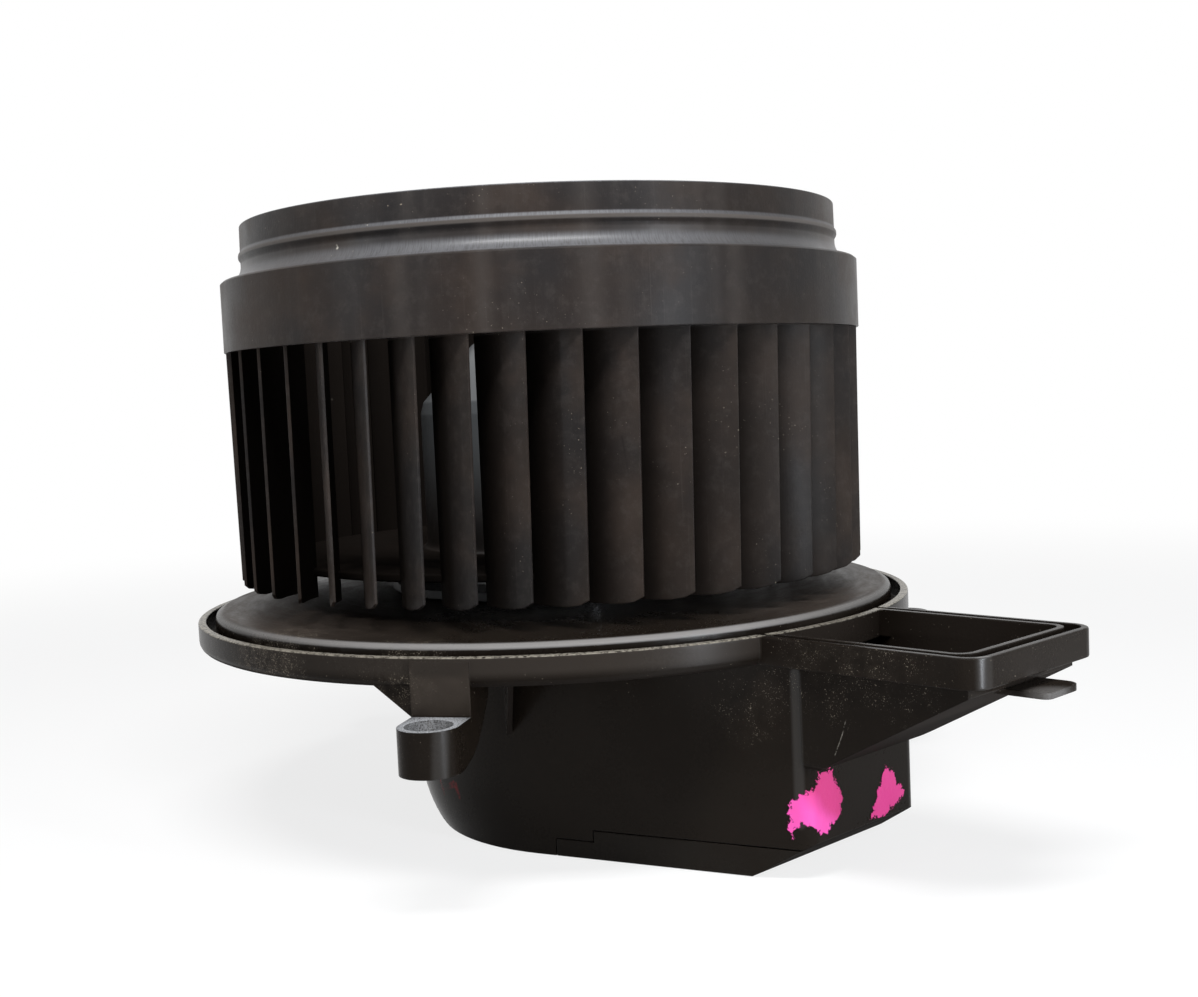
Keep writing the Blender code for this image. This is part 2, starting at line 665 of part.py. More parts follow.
def foot_spot(index):
    angle = radians(60.0) + index * 2.0 * pi / 3.0
    return (CAP_FOOT_CIRCLE * cos(angle), CAP_FOOT_CIRCLE * sin(angle), 0.0)


def arc_slot(name, inner, outer, spread, low, high, steps=2):
    angles = [-spread / 2.0 + spread * k / steps for k in range(steps + 1)]
    outline = [(outer * cos(a), outer * sin(a)) for a in angles]
    outline += [(inner * cos(a), inner * sin(a)) for a in reversed(angles)]
    return prism(name, outline, low, high)


def brush_gear():
    """Two brushes on the Y axis, each in a brass box that is closed behind its spring."""
    pieces = []
    middle = COMMUTATOR_BOTTOM + 0.0008 + HOLDER_WALL + BRUSH_HEIGHT / 2.0
    start = COMMUTATOR_RADIUS + SEAT_GAP
    for name, turn in (("left", pi / 2.0), ("right", -pi / 2.0)):
        half = BRUSH_WIDTH / 2.0
        low = middle - BRUSH_HEIGHT / 2.0
        high = middle + BRUSH_HEIGHT / 2.0
        brush = box("brush_" + name, (start, -half, low), (start + BRUSH_LENGTH, half, high), CARBON)
        pieces.append(placed(brush, turn))
        back = start + BRUSH_LENGTH + 2.0 * SEAT_GAP + SPRING_LENGTH
        room = SEAT_GAP + HOLDER_WALL
        holder = box("brush_holder_" + name, (COMMUTATOR_RADIUS + HOLDER_START, -half - room, low - room),
                     (back + HOLDER_WALL, half + room, high + room), BRASS)
        hollow = box("holder hollow " + name, (COMMUTATOR_RADIUS, -half - SEAT_GAP, low - SEAT_GAP),
                     (back, half + SEAT_GAP, high + SEAT_GAP))
        boolean(holder, placed(hollow, turn))
        pieces.append(placed(holder, turn))
        spring_start = start + BRUSH_LENGTH + SEAT_GAP + SPRING_WIRE
        pieces.append(placed(spring("brush_spring_" + name, spring_start, middle), turn))
    return pieces


def spring(name, start, height):
    """Short compression spring with its axis along X."""
    points_per_turn = 6
    count = SPRING_TURNS * points_per_turn
    travel = SPRING_LENGTH - 2.0 * SPRING_WIRE
    curve = bpy.data.curves.new(name, "CURVE")
    curve.dimensions = "3D"
    curve.bevel_depth = SPRING_WIRE
    curve.bevel_resolution = 1
    curve.use_fill_caps = True
    line = curve.splines.new("POLY")
    line.points.add(count)
    for index in range(count + 1):
        angle = 2.0 * pi * index / points_per_turn
        x = start + travel * index / count
        line.points[index].co = (x, SPRING_RADIUS * cos(angle), height + SPRING_RADIUS * sin(angle), 1.0)
    return curve_to_object(name, curve, SPRING_STEEL)


def curve_to_object(name, curve, material):
    """Turns a wire curve into a closed mesh and drops the curve."""
    source = bpy.data.objects.new(name + " path", curve)
    PARTS.objects.link(source)
    bpy.context.view_layer.update()
    mesh = bpy.data.meshes.new_from_object(source.evaluated_get(bpy.context.evaluated_depsgraph_get()))
    bpy.data.objects.remove(source, do_unlink=True)
    shape = bmesh.new()
    shape.from_mesh(mesh)
    bpy.data.meshes.remove(mesh)
    bmesh.ops.remove_doubles(shape, verts=shape.verts, dist=0.00001)
    return from_bmesh(name, shape, material)


# Rubber mounts
def isolators():
    ring_inner = CAN_RADIUS + SEAT_GAP
    ring_outer = COLLAR_BORE - SEAT_GAP
    ring_top = RING_BOTTOM + RING_LENGTH
    pieces = [turned("isolator_ring", [
        (ring_inner, ring_top),
        (ring_outer, ring_top),
        (ring_outer, RING_BOTTOM),
        (ring_inner, RING_BOTTOM),
    ], MOTOR_STEPS, RUBBER)]
    for index in range(3):
        foot = turned("isolator_foot_%d" % (index + 1), [
            (0.0, FOOT_RUBBER_TOP),
            (CAP_FOOT_RADIUS, FOOT_RUBBER_TOP),
            (CAP_FOOT_RADIUS * 0.86, (FOOT_RUBBER_TOP + FOOT_RUBBER_BOTTOM) / 2.0),
            (CAP_FOOT_RADIUS, FOOT_RUBBER_BOTTOM),
            (0.0, FOOT_RUBBER_BOTTOM),
        ], SMALL_STEPS, RUBBER, closed=False)
        pieces.append(placed(foot, 0.0, foot_spot(index)))
    return pieces


# Housing
def wall_distance():
    """Distance of the flared side walls from the axis."""
    return CHAMBER_END * sin(CHAMBER_FLARE) + CHAMBER_END_HALF * cos(CHAMBER_FLARE)


def chamber_outline(inset=0.0, back_run=0.0, side_run=0.0):
    """Plan of the motor chamber: end wall, flared sides, side arcs and the round back about the axis."""
    side_radius = CHAMBER_SIDE_RADIUS - side_run - inset
    back_radius = CHAMBER_BACK_RADIUS - back_run - inset
    distance = wall_distance() - inset
    normal = Vector((sin(CHAMBER_FLARE), -cos(CHAMBER_FLARE)))
    along = Vector((cos(CHAMBER_FLARE), sin(CHAMBER_FLARE)))
    lead = distance - side_radius
    centre = normal * lead + along * sqrt((side_radius - back_radius) ** 2 - lead ** 2)
    end = CHAMBER_END - inset
    corner_y = -(distance - end * sin(CHAMBER_FLARE)) / cos(CHAMBER_FLARE)
    corner = max(CHAMBER_CORNER - inset, 0.0008)
    near = rounded([(end, corner_y, corner), (end, 0.0, 0.0), tuple(centre + normal * side_radius) + (0.0,)], 3)[:4]
    near.reverse()
    near = sorted(near, key=lambda point: -point[1])
    start = atan2(normal.y, normal.x)
    join = atan2(-centre.y, -centre.x)
    for k in range(6):
        angle = start + (join - start) * k / 5
        near.append((centre.x + side_radius * cos(angle), centre.y + side_radius * sin(angle)))
    for k in range(1, 3):
        angle = join + (-pi - join) * k / 3
        near.append((back_radius * cos(angle), back_radius * sin(angle)))
    back = [(-back_radius, 0.0)]
    far = [(x, -y) for x, y in reversed(near)]
    return near + back + far


def chamber_form(name, inset, bottom, top):
    """Chamber with its lower back edge rounded, as a loft of plans."""
    sections = [[Vector((x, y, top)) for x, y in chamber_outline(inset)]]
    for step in range(3):
        angle = (pi / 2.0) * step / 2
        drop = FILLET_HEIGHT * (1.0 - sin(angle))
        share = 1.0 - cos(angle)
        plan = chamber_outline(inset, FILLET_BACK_RUN * share, FILLET_SIDE_RUN * share)
        sections.append([Vector((x, y, bottom + drop)) for x, y in plan])
    return loft(name, sections)


def chamber_shell():
    shell = chamber_form("chamber shell", 0.0, 0.0, SHELL_TOP)
    boolean(shell, chamber_form("chamber space", CHAMBER_WALL, CHAMBER_FLOOR, DISC_UNDER - 0.0004))
    mouth = rod("chamber mouth", COLLAR_BORE + 0.7 * COLLAR_TUBE_WALL, DISC_UNDER - 0.006, DISC_TOP + 0.01,
                FLANGE_STEPS)
    boolean(shell, mouth)
    opening = [(COVER_INNER_END, COVER_STEP_HEIGHT), (COVER_STEP_END, COVER_STEP_HEIGHT),
               (COVER_STEP_END, COVER_HEIGHT), (CHAMBER_END + 0.01, COVER_HEIGHT),
               (CHAMBER_END + 0.01, -0.01), (COVER_INNER_END, -0.01)]
    boolean(shell, prism("cover opening", opening, -0.06, 0.06, None, "XZ"))
    boolean(shell, ring("rim room", RIM_INNER - CHANNEL_WALL + 0.0004, LIP_RADIUS + 0.02, LIP_BOTTOM + 0.0011,
                        SHELL_TOP + 0.01, FLANGE_STEPS))
    boolean(shell, slanted_end("end slant", 0.0))
    return shell


def slanted_end(name, inwards):
    """Wedge that cuts the chamber's lower end edge, or that bounds the cover's hollow behind it."""
    slope = COVER_SLANT_RISE / COVER_SLANT_RUN
    foot = CHAMBER_END - COVER_SLANT_RUN - inwards
    end = CHAMBER_END + 0.001
    outline = [(foot - 0.001 / slope, -0.001), (end, -0.001), (end, (end - foot) * slope)]
    return prism(name, outline, -0.05, 0.05, None, "XZ")


def flange():
    rim_top = FLANGE_TOP + DISC_RIM_RISE
    tube_outer = COLLAR_BORE + COLLAR_TUBE_WALL
    tube_bottom = RING_BOTTOM - SEAT_GAP - COLLAR_TUBE_WALL
    profile = [
        (COLLAR_BORE, DISC_TOP),
        (0.0600, DISC_TOP - 0.0004),
        (RIM_INNER - 0.0022, rim_top + 0.0005),
        (RIM_INNER - 0.0006, rim_top),
        (RIM_INNER + 0.0008, FLANGE_TOP),
        (LIP_RADIUS, FLANGE_TOP),
        (LIP_RADIUS, FLANGE_TOP - 0.62 * LIP_HEIGHT),
        (LIP_RADIUS - 0.0007, FLANGE_TOP - 0.87 * LIP_HEIGHT),
        (LIP_RADIUS - 0.0019, LIP_BOTTOM),
        (RIM_INNER - CHANNEL_WALL, LIP_BOTTOM),
        (RIM_INNER - CHANNEL_WALL, DISC_UNDER - 0.0012),
        (tube_outer, DISC_UNDER),
        (tube_outer, tube_bottom),
        (COLLAR_BORE - COLLAR_TUBE_LIP, tube_bottom),
        (COLLAR_BORE - COLLAR_TUBE_LIP, RING_BOTTOM - SEAT_GAP),
        (COLLAR_BORE, RING_BOTTOM - SEAT_GAP),
    ]
    return turned("motor_housing", profile, FLANGE_STEPS, HOUSING_PLASTIC)


def duct_body():
    """Lip band, funnel and floor plate of the cooling-air inlet, before it is hollowed."""
    root = RIM_INNER - 0.0008
    lip = rounded([(root, -DUCT_LIP_HALF, 0.0), (DUCT_LIP_END, -DUCT_LIP_HALF, DUCT_LIP_CORNER),
                   (DUCT_LIP_END, DUCT_LIP_HALF, DUCT_LIP_CORNER), (root, DUCT_LIP_HALF, 0.0)], 4)
    body = prism("duct lip", lip, FLANGE_TOP - DUCT_LIP_HEIGHT, FLANGE_TOP)
    top = FLANGE_TOP - 0.0008
    side = [(root, top), (DUCT_END, top)] + floor_line(0.0)
    side += [(side[-1][0], LIP_BOTTOM + 0.0007), (root, LIP_BOTTOM + 0.0007)]
    half = DUCT_INNER_HALF
    funnel = prism("duct funnel", side, -half, half, None, "XZ")
    soften(funnel, lambda spot: spot.z < LIP_BOTTOM - DUCT_MOUTH_FLOOR + 0.0001, DUCT_FLOOR_CORNER)
    boolean(body, funnel, "UNION")
    return body


def soften(item, chosen, radius):
    """Rounds the long edges between a side (flat across Y) and the floor, where both ends are chosen."""
    shape = bmesh.new()
    shape.from_mesh(item.data)
    edges = [edge for edge in shape.edges if all(chosen(v.co) for v in edge.verts)
             and abs(edge.verts[0].co.y - edge.verts[1].co.y) < 1e-6
             and abs(edge.verts[0].co.x - edge.verts[1].co.x) > 1e-4]
    bmesh.ops.bevel(shape, geom=edges, offset=radius, segments=2, profile=0.5, affect="EDGES")
    shape.to_mesh(item.data)
    shape.free()


def floor_line(raise_by):
    """Sloping duct floor in side view, from the far end to the chamber's end wall."""
    base = FLANGE_TOP - DUCT_LIP_HEIGHT + raise_by
    low = base - DUCT_FLOOR_DROP
    return [(DUCT_END, base - DUCT_MOUTH_FLOOR), (DUCT_FLOOR_KNEE, low), (CHAMBER_END - CHAMBER_WALL / 2.0, low)]


def duct_space():
    """Air way down the funnel and through the chamber's end wall."""
    half = DUCT_INNER_HALF - DUCT_WALL
    end = DUCT_END - DUCT_WALL
    floor = floor_line(DUCT_FLOOR_PLATE)
    low_end = floor[0][1] + (floor[0][1] - floor[1][1]) / (floor[0][0] - floor[1][0]) * (end - floor[0][0])
    roof = LIP_BOTTOM + DUCT_ROOF_RISE
    inside = CHAMBER_END - CHAMBER_WALL - 0.004
    outline = [(inside, roof), (LIP_RADIUS - 0.0001, roof), (LIP_RADIUS + 0.001, roof + 0.002), (end, roof + 0.002),
               (end, low_end), floor[1], (inside, floor[1][1])]
    lower = prism("duct space", outline, -half, half, None, "XZ")
    radius = LIP_RADIUS - 0.0001
    steps = 8
    turn = asin(half / radius)
    arc = [(radius * cos(a), radius * sin(a)) for a in
           [turn - 2.0 * turn * k / steps for k in range(steps + 1)]]
    corners = rounded([(radius, -half, 0.0), (end, -half, DUCT_MOUTH_CORNER), (end, half, DUCT_MOUTH_CORNER),
                       (radius, half, 0.0)], 3)[1:-1]
    upper = prism("duct mouth", arc + corners, LIP_BOTTOM, FLANGE_TOP + 0.01)
    return [lower, upper]


def duct_groove():
    outer_half = DUCT_LIP_HALF - DUCT_LIP_WALL
    outer_end = DUCT_LIP_END - DUCT_LIP_WALL
    start = sqrt((LIP_RADIUS - LIP_WALL) ** 2 - outer_half ** 2) - 0.0008
    outer = rounded([(start, -outer_half, 0.0), (outer_end, -outer_half, DUCT_LIP_CORNER - DUCT_LIP_WALL),
                     (outer_end, outer_half, DUCT_LIP_CORNER - DUCT_LIP_WALL), (start, outer_half, 0.0)], 4)
    inner = rounded([(start, DUCT_INNER_HALF, 0.0), (DUCT_END, DUCT_INNER_HALF, 0.0042),
                     (DUCT_END, -DUCT_INNER_HALF, 0.0042), (start, -DUCT_INNER_HALF, 0.0)], 4)
    return prism("duct groove", outer + inner, FLANGE_TOP - GROOVE_DEPTH, FLANGE_TOP + 0.01)


def flange_groove():
    outer = LIP_RADIUS - LIP_WALL
    return ring("flange groove", outer - GROOVE_WIDTH, outer, FLANGE_TOP - GROOVE_DEPTH, DISC_TOP + 0.01,
                FLANGE_STEPS)


def lug(index, angle):
    """Screw lug: strap down the lip, round-nosed ledge and a curved web under the flange."""
    face = LIP_RADIUS + 0.0003
    nose = face + LUG_PROUD
    ledge = FLANGE_TOP - LUG_DROP
    foot = ledge - LUG_THICKNESS
    back = RIM_INNER - CHANNEL_WALL
    inner = back - LUG_WEB_REACH * 0.45
    web_top = DISC_UNDER - 0.0004
    outline = [
        (back + 0.0008, web_top),
        (back + 0.0008, FLANGE_TOP - 0.0006),
        (face, FLANGE_TOP - 0.0006),
        (face, ledge),
        (nose, ledge),
        (nose, foot),
        (face + 0.0050, foot),
        (face - 0.0006, foot + 0.0014),
        (face - 0.0044, foot + 0.0036),
        (face - 0.0076, foot + 0.0066),
        (inner, foot + 0.0114),
        (inner - 0.0006, web_top),
    ]
    half = LUG_WIDTH / 2.0
    body = prism("lug %d" % (index + 1), outline, -half, half, None, "XZ")
    nose_edges(body, nose, half * 0.97)
    hole_spot = nose - half
    sink = turned("lug hole %d" % (index + 1), [
        (0.0, ledge + 0.001),
        (LUG_SINK_RADIUS + 0.001, ledge + 0.001),
        (LUG_HOLE_RADIUS, ledge - LUG_SINK_DEPTH),
        (LUG_HOLE_RADIUS, foot - 0.001),
        (0.0, foot - 0.001),
    ], SMALL_STEPS, None, closed=False)
    reach = (hole_spot * cos(angle), hole_spot * sin(angle), 0.0)
    gusset = [(-half + 0.001, LIP_BOTTOM + 0.0006), (-half - 0.0092, LIP_BOTTOM + 0.0006),
              (-half + 0.001, LIP_BOTTOM - 0.0078)]
    side = prism("lug gusset %d" % (index + 1), [(y, z) for y, z in gusset], -0.0008, 0.0008, None, "XZ")
    spot = LIP_RADIUS - LIP_WALL - GROOVE_WIDTH / 2.0
    placed(side, angle + pi / 2.0, (spot * cos(angle), spot * sin(angle), 0.0))
    return placed(body, angle), side, placed(sink, 0.0, reach)


def nose_edges(item, reach, radius):
    """Rounds the two upright edges at the lug's nose."""
    shape = bmesh.new()
    shape.from_mesh(item.data)
    edges = [edge for edge in shape.edges if all(abs(v.co.x - reach) < 1e-6 for v in edge.verts)
             and abs(edge.verts[0].co.y - edge.verts[1].co.y) < 1e-6]
    bmesh.ops.bevel(shape, geom=edges, offset=radius, segments=5, profile=0.5, affect="EDGES")
    shape.to_mesh(item.data)
    shape.free()


def rib(name, x, y, angle):
    """Upright triangular rib between chamber wall and flange."""
    top = DISC_UNDER + 0.0006
    outline = [(-0.0012, top), (RIB_REACH, top), (RIB_REACH, LIP_BOTTOM - 0.001), (-0.0012, top - RIB_DROP)]
    plate = prism(name, outline, -RIB_THICKNESS / 2.0, RIB_THICKNESS / 2.0, None, "XZ")
    return placed(plate, angle, (x, y, 0.0))


def tab():
    """Clip tab at the duct's far end."""
    top = floor_line(0.0)[0][1] - 0.0002
    corner = 0.0032
    outline = rounded([(DUCT_END - 0.0035, -TAB_HALF, 0.0), (DUCT_END + TAB_REACH, -TAB_HALF, corner * 0.5),
                       (DUCT_END + TAB_REACH, TAB_HALF, corner), (DUCT_END - 0.0035, TAB_HALF, 0.0)], 3)
    return prism("clip tab", outline, top - TAB_THICKNESS, top)


def screw_spot(angle):
    return (SCREW_CIRCLE * cos(angle), SCREW_CIRCLE * sin(angle), 0.0)


def plug_frame():
    """Turn and foot point of the plug on the far side wall; local X points out of the wall."""
    normal = Vector((sin(CHAMBER_FLARE), cos(CHAMBER_FLARE)))
    along = Vector((cos(CHAMBER_FLARE), -sin(CHAMBER_FLARE)))
    spot = normal * wall_distance() + along * PLUG_ALONG
    return atan2(normal.y, normal.x), (spot.x, spot.y, PLUG_HEIGHT)


def motor_housing():
    housing = flange()
    boolean(housing, chamber_shell(), "UNION")
    boolean(housing, duct_body(), "UNION")
    for space in duct_space():
        boolean(housing, space)
    holes = []
    for index, angle in enumerate(LUG_ANGLES):
        body, side, sink = lug(index, angle)
        boolean(housing, body, "UNION")
        boolean(housing, side, "UNION")
        holes.append(sink)
    boolean(housing, tab(), "UNION")
    for index, (x, y, angle) in enumerate(RIB_POINTS):
        boolean(housing, rib("rib %d" % (2 * index + 1), x, y, angle), "UNION")
        boolean(housing, rib("rib %d" % (2 * index + 2), x, -y, -angle), "UNION")
    for index, angle in enumerate(SCREW_ANGLES):
        boss = rod("screw boss %d" % (index + 1), BOSS_RADIUS, DISC_UNDER - BOSS_LENGTH, DISC_TOP - 0.001,
                   SMALL_STEPS)
        boolean(housing, placed(boss, 0.0, screw_spot(angle)), "UNION")
        hole = rod("screw bore %d" % (index + 1), SCREW_RADIUS + SEAT_GAP, screw_bottom() - 0.0006,
                   DISC_TOP + 0.001, SMALL_STEPS)
        holes.append(placed(hole, 0.0, screw_spot(angle)))
    holes.append(flange_groove())
    holes.append(duct_groove())
    holes.append(plug_window())
    for hole in holes:
        boolean(housing, hole)
    return housing


def plug_window():
    half = PLUG_WIDTH / 2.0 + SEAT_GAP
    tall = PLUG_TALL / 2.0 + SEAT_GAP
    turn, spot = plug_frame()
    window = box("plug window", (-CHAMBER_WALL - 0.002, -half, -tall), (0.002, half, tall))
    return placed(window, turn, spot)


# Lower cover
def cover_plan(inset, first, last):
    """Slice of the chamber's plan between two lengths, set in by a wall."""
    distance = wall_distance() - inset
    half_first = (distance - first * sin(CHAMBER_FLARE)) / cos(CHAMBER_FLARE)
    half_last = (distance - last * sin(CHAMBER_FLARE)) / cos(CHAMBER_FLARE)
    corner = max(CHAMBER_CORNER - inset, 0.0)
    return rounded([(first, -half_first, 0.0), (last, -half_last, corner), (last, half_last, corner),
                    (first, half_first, 0.0)], 3)


def lower_cover():
    start = COVER_INNER_END + SEAT_GAP
    step = COVER_STEP_END + SEAT_GAP
    top = COVER_HEIGHT - SEAT_GAP
    step_top = COVER_STEP_HEIGHT - SEAT_GAP
    cover = prism("lower_cover", cover_plan(0.0, start, CHAMBER_END), 0.0, top, COVER_PLASTIC)
    shelf = box("cover shelf", (start - 0.01, -0.06, step_top), (step, 0.06, top + 0.01))
    boolean(cover, shelf)
    hollow = prism("cover hollow", cover_plan(COVER_WALL, start + COVER_WALL, CHAMBER_END - COVER_WALL),
                   COVER_WALL, top + 0.01)
    slope_length = hypot(COVER_SLANT_RUN, COVER_SLANT_RISE)
    boolean(hollow, slanted_end("hollow slant", COVER_WALL * slope_length / COVER_SLANT_RISE))
    boolean(cover, hollow)
    outer = CHAMBER_WALL + SEAT_GAP
    first = step + COVER_WALL
    last = CHAMBER_END - outer
    tongue = prism("cover tongue", cover_plan(outer, first, last), COVER_WALL - 0.0006, top + COVER_TONGUE_RISE)
    inner = outer + COVER_TONGUE
    boolean(tongue, prism("tongue hollow", cover_plan(inner, first + COVER_TONGUE, last - COVER_TONGUE),
                          0.0, top + 0.02))
    boolean(cover, tongue, "UNION")
    boolean(cover, slanted_end("cover slant", 0.0))
    return cover


# Retainer and screws
def screw_bottom():
    return DISC_TOP + SEAT_GAP + RETAINER_THICKNESS + SEAT_GAP - SCREW_LENGTH


def retainer():
    low = DISC_TOP + SEAT_GAP
    high = low + RETAINER_THICKNESS
    skirt_outer = COLLAR_BORE - SEAT_GAP
    skirt_bottom = DISC_TOP - RETAINER_SKIRT
    inner = CAN_RADIUS + SEAT_GAP
    piece = turned("motor_retainer", [
        (inner, high),
        (RETAINER_RADIUS, high),
        (RETAINER_RADIUS, low),
        (skirt_outer, low),
        (skirt_outer, skirt_bottom),
        (inner, skirt_bottom),
    ], MOTOR_STEPS, CAP_PLASTIC)
    pieces = [piece]
    for index, angle in enumerate(SCREW_ANGLES):
        hole = rod("retainer bore %d" % (index + 1), SCREW_RADIUS + SEAT_GAP, low - 0.001, high + 0.001,
                   SMALL_STEPS)
        boolean(piece, placed(hole, 0.0, screw_spot(angle)))
        seat = high + SEAT_GAP
        screw = turned("retainer_screw_%d" % (index + 1), [
            (0.0, seat + SCREW_HEAD_HEIGHT),
            (SCREW_HEAD_RADIUS - 0.0005, seat + SCREW_HEAD_HEIGHT),
            (SCREW_HEAD_RADIUS, seat + SCREW_HEAD_HEIGHT - 0.0005),
            (SCREW_HEAD_RADIUS, seat),
            (SCREW_RADIUS, seat),
            (SCREW_RADIUS, screw_bottom()),
            (0.0, screw_bottom()),
        ], SMALL_STEPS, STEEL, closed=False)
        pieces.append(placed(screw, 0.0, screw_spot(angle)))
    return pieces


# Plug socket, terminals and leads
def plug():
    turn, spot = plug_frame()
    half = PLUG_WIDTH / 2.0
    tall = PLUG_TALL / 2.0
    block = box("connector_block", (-CHAMBER_WALL - PLUG_STUB, -half, -tall), (PLUG_DEPTH, half, tall), CAP_PLASTIC)
    plate_low = SEAT_GAP
    plate = box("plug flange", (plate_low, -half - PLUG_FLANGE, -tall - PLUG_FLANGE),
                (plate_low + PLUG_FLANGE_THICKNESS, half + PLUG_FLANGE, tall + PLUG_FLANGE))
    boolean(block, placed(plate, turn, spot), "UNION")
    socket = box("plug socket", (0.0020, -half + PLUG_WALL, -tall + PLUG_WALL),
                 (PLUG_DEPTH + 0.001, half - PLUG_WALL, tall - PLUG_WALL))
    boolean(block, placed(socket, turn, spot))
    pieces = [placed(block, turn, spot)]
    thick = TERMINAL_THICKNESS / 2.0
    for index in range(2):
        side = (index - 0.5) * TERMINAL_PITCH
        wide = TERMINAL_WIDTH / 2.0
        slot = box("terminal slot %d" % (index + 1), (-0.02, side - wide - SEAT_GAP, -thick - SEAT_GAP),
                   (0.004, side + wide + SEAT_GAP, thick + SEAT_GAP))
        boolean(block, placed(slot, turn, spot))
        inner_end = -CHAMBER_WALL - PLUG_STUB
        terminal = box("terminal_%d" % (index + 1), (inner_end, side - wide, -thick),
                       (0.0020 + TERMINAL_PROUD, side + wide, thick), TIN)
        pieces.append(placed(terminal, turn, spot))
    return pieces


def leads():
    """Two leads from the end cap's posts to the terminals, inside the chamber."""
    turn, spot = plug_frame()
    out = Vector((cos(turn), sin(turn), 0.0))
    across = Vector((-sin(turn), cos(turn), 0.0))
    foot = Vector(spot)
    pieces = []
    for index in range(2):
        side = (index - 0.5) * TERMINAL_PITCH
        end = foot + across * side - out * (CHAMBER_WALL + PLUG_STUB + SEAT_GAP)
        angle = lead_post_angle(-1.0 if index == 0 else 1.0)
        post = CAN_RADIUS - 0.0006 + SEAT_GAP
        height = CAP_FLANGE_BOTTOM - LEAD_POST / 2.0
        start = Vector((post * cos(angle), post * sin(angle), height))
        away = Vector((cos(angle), sin(angle), 0.0))
        pieces.append(lead("lead_wire_%d" % (index + 1), start, away, end, -out))
    return pieces


def lead(name, start, away, end, back):
    """Smooth tube on a Bezier line that leaves both ends squarely."""
    reach = (end - start).length * 0.42
    knots = [start, start + away * reach, end + back * reach, end]
    count = 8
    curve = bpy.data.curves.new(name, "CURVE")
    curve.dimensions = "3D"
    curve.bevel_depth = LEAD_RADIUS
    curve.bevel_resolution = 1
    curve.use_fill_caps = True
    line = curve.splines.new("POLY")
    line.points.add(count)
    for index in range(count + 1):
        t = index / count
        weights = ((1 - t) ** 3, 3 * t * (1 - t) ** 2, 3 * t * t * (1 - t), t ** 3)
        spot = sum((knot * weight for knot, weight in zip(knots, weights)), Vector())
        line.points[index].co = (*spot, 1.0)
    return curve_to_object(name, curve, LEAD_PLASTIC)


def empty(name, parent=None):
    item = bpy.data.objects.new(name, None)
    PARTS.objects.link(item)
    item.parent = parent
    return item


def build():
    turning = [impeller()] + shaft_parts() + armature() + [commutator()]
    standing = [motor_housing(), lower_cover()] + motor_can() + magnets() + [end_cap()] + brush_gear()
    standing += isolators() + retainer() + plug() + leads()
    body = empty("blower")
    axis = empty("wheel axis", body)
    for item in turning:
        item.parent = axis
    for item in standing:
        item.parent = body
    for item in turning + standing:
        smooth(item)


clear_scene()
PARTS = new_collection("Cabin blower")
CUTTERS = new_collection("Cutters")
WHEEL_PLASTIC = finish("Wheel plastic", (0.050, 0.043, 0.039), 0.55)
HOUSING_PLASTIC = finish("Housing plastic", (0.022, 0.019, 0.017), 0.32)
COVER_PLASTIC = finish("Cover plastic", (0.026, 0.023, 0.020), 0.38)
CAP_PLASTIC = finish("Cap plastic", (0.030, 0.030, 0.030), 0.50)
STEEL = finish("Bright steel", (0.55, 0.55, 0.56), 0.30, 1.0)
CAN_STEEL = finish("Zinc-plated steel", (0.50, 0.50, 0.50), 0.42, 1.0)
BRASS = finish("Brass", (0.60, 0.45, 0.18), 0.35, 1.0)
BRONZE = finish("Sintered bronze", (0.42, 0.27, 0.14), 0.55, 1.0)
COPPER = finish("Copper", (0.62, 0.28, 0.14), 0.38, 1.0)
LAMINATION = finish("Lamination steel", (0.25, 0.25, 0.26), 0.55, 1.0)
FERRITE = finish("Ferrite", (0.06, 0.06, 0.065), 0.70)
CARBON = finish("Brush carbon", (0.05, 0.05, 0.05), 0.65)
SPRING_STEEL = finish("Spring steel", (0.45, 0.45, 0.46), 0.35, 1.0)
RUBBER = finish("Black rubber", (0.018, 0.018, 0.018), 0.85)
TIN = finish("Tinned copper", (0.62, 0.61, 0.58), 0.35, 1.0)
LEAD_PLASTIC = finish("Lead sleeve", (0.35, 0.03, 0.02), 0.55)
build()
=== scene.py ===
# Looks of the car cabin blower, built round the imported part.
# Metres, +Z up. The wheel's axis is X = Y = 0 and the cooling-air duct points along +X.

import json
from math import acos, asin, atan2, cos, hypot, pi, radians, sin, sqrt, tan

import bmesh
import bpy
from mathutils import Matrix, Vector
from mathutils.bvhtree import BVHTree


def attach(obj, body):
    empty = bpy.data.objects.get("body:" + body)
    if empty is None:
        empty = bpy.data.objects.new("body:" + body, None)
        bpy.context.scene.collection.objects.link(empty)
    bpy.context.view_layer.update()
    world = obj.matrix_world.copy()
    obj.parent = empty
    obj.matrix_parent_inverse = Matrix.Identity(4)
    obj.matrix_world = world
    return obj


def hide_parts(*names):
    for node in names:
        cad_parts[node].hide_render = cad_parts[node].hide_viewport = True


# Camera, from the photograph
CAMERA_LENS = 45.14
CAMERA_SPOT = (0.27806, -0.25739, 0.1028)
CAMERA_RIGHT = (0.70419, 0.70864, -0.04398)
CAMERA_UP = (-0.02225, 0.08393, 0.99622)
CAMERA_BACK = (0.70965, -0.70055, 0.07488)

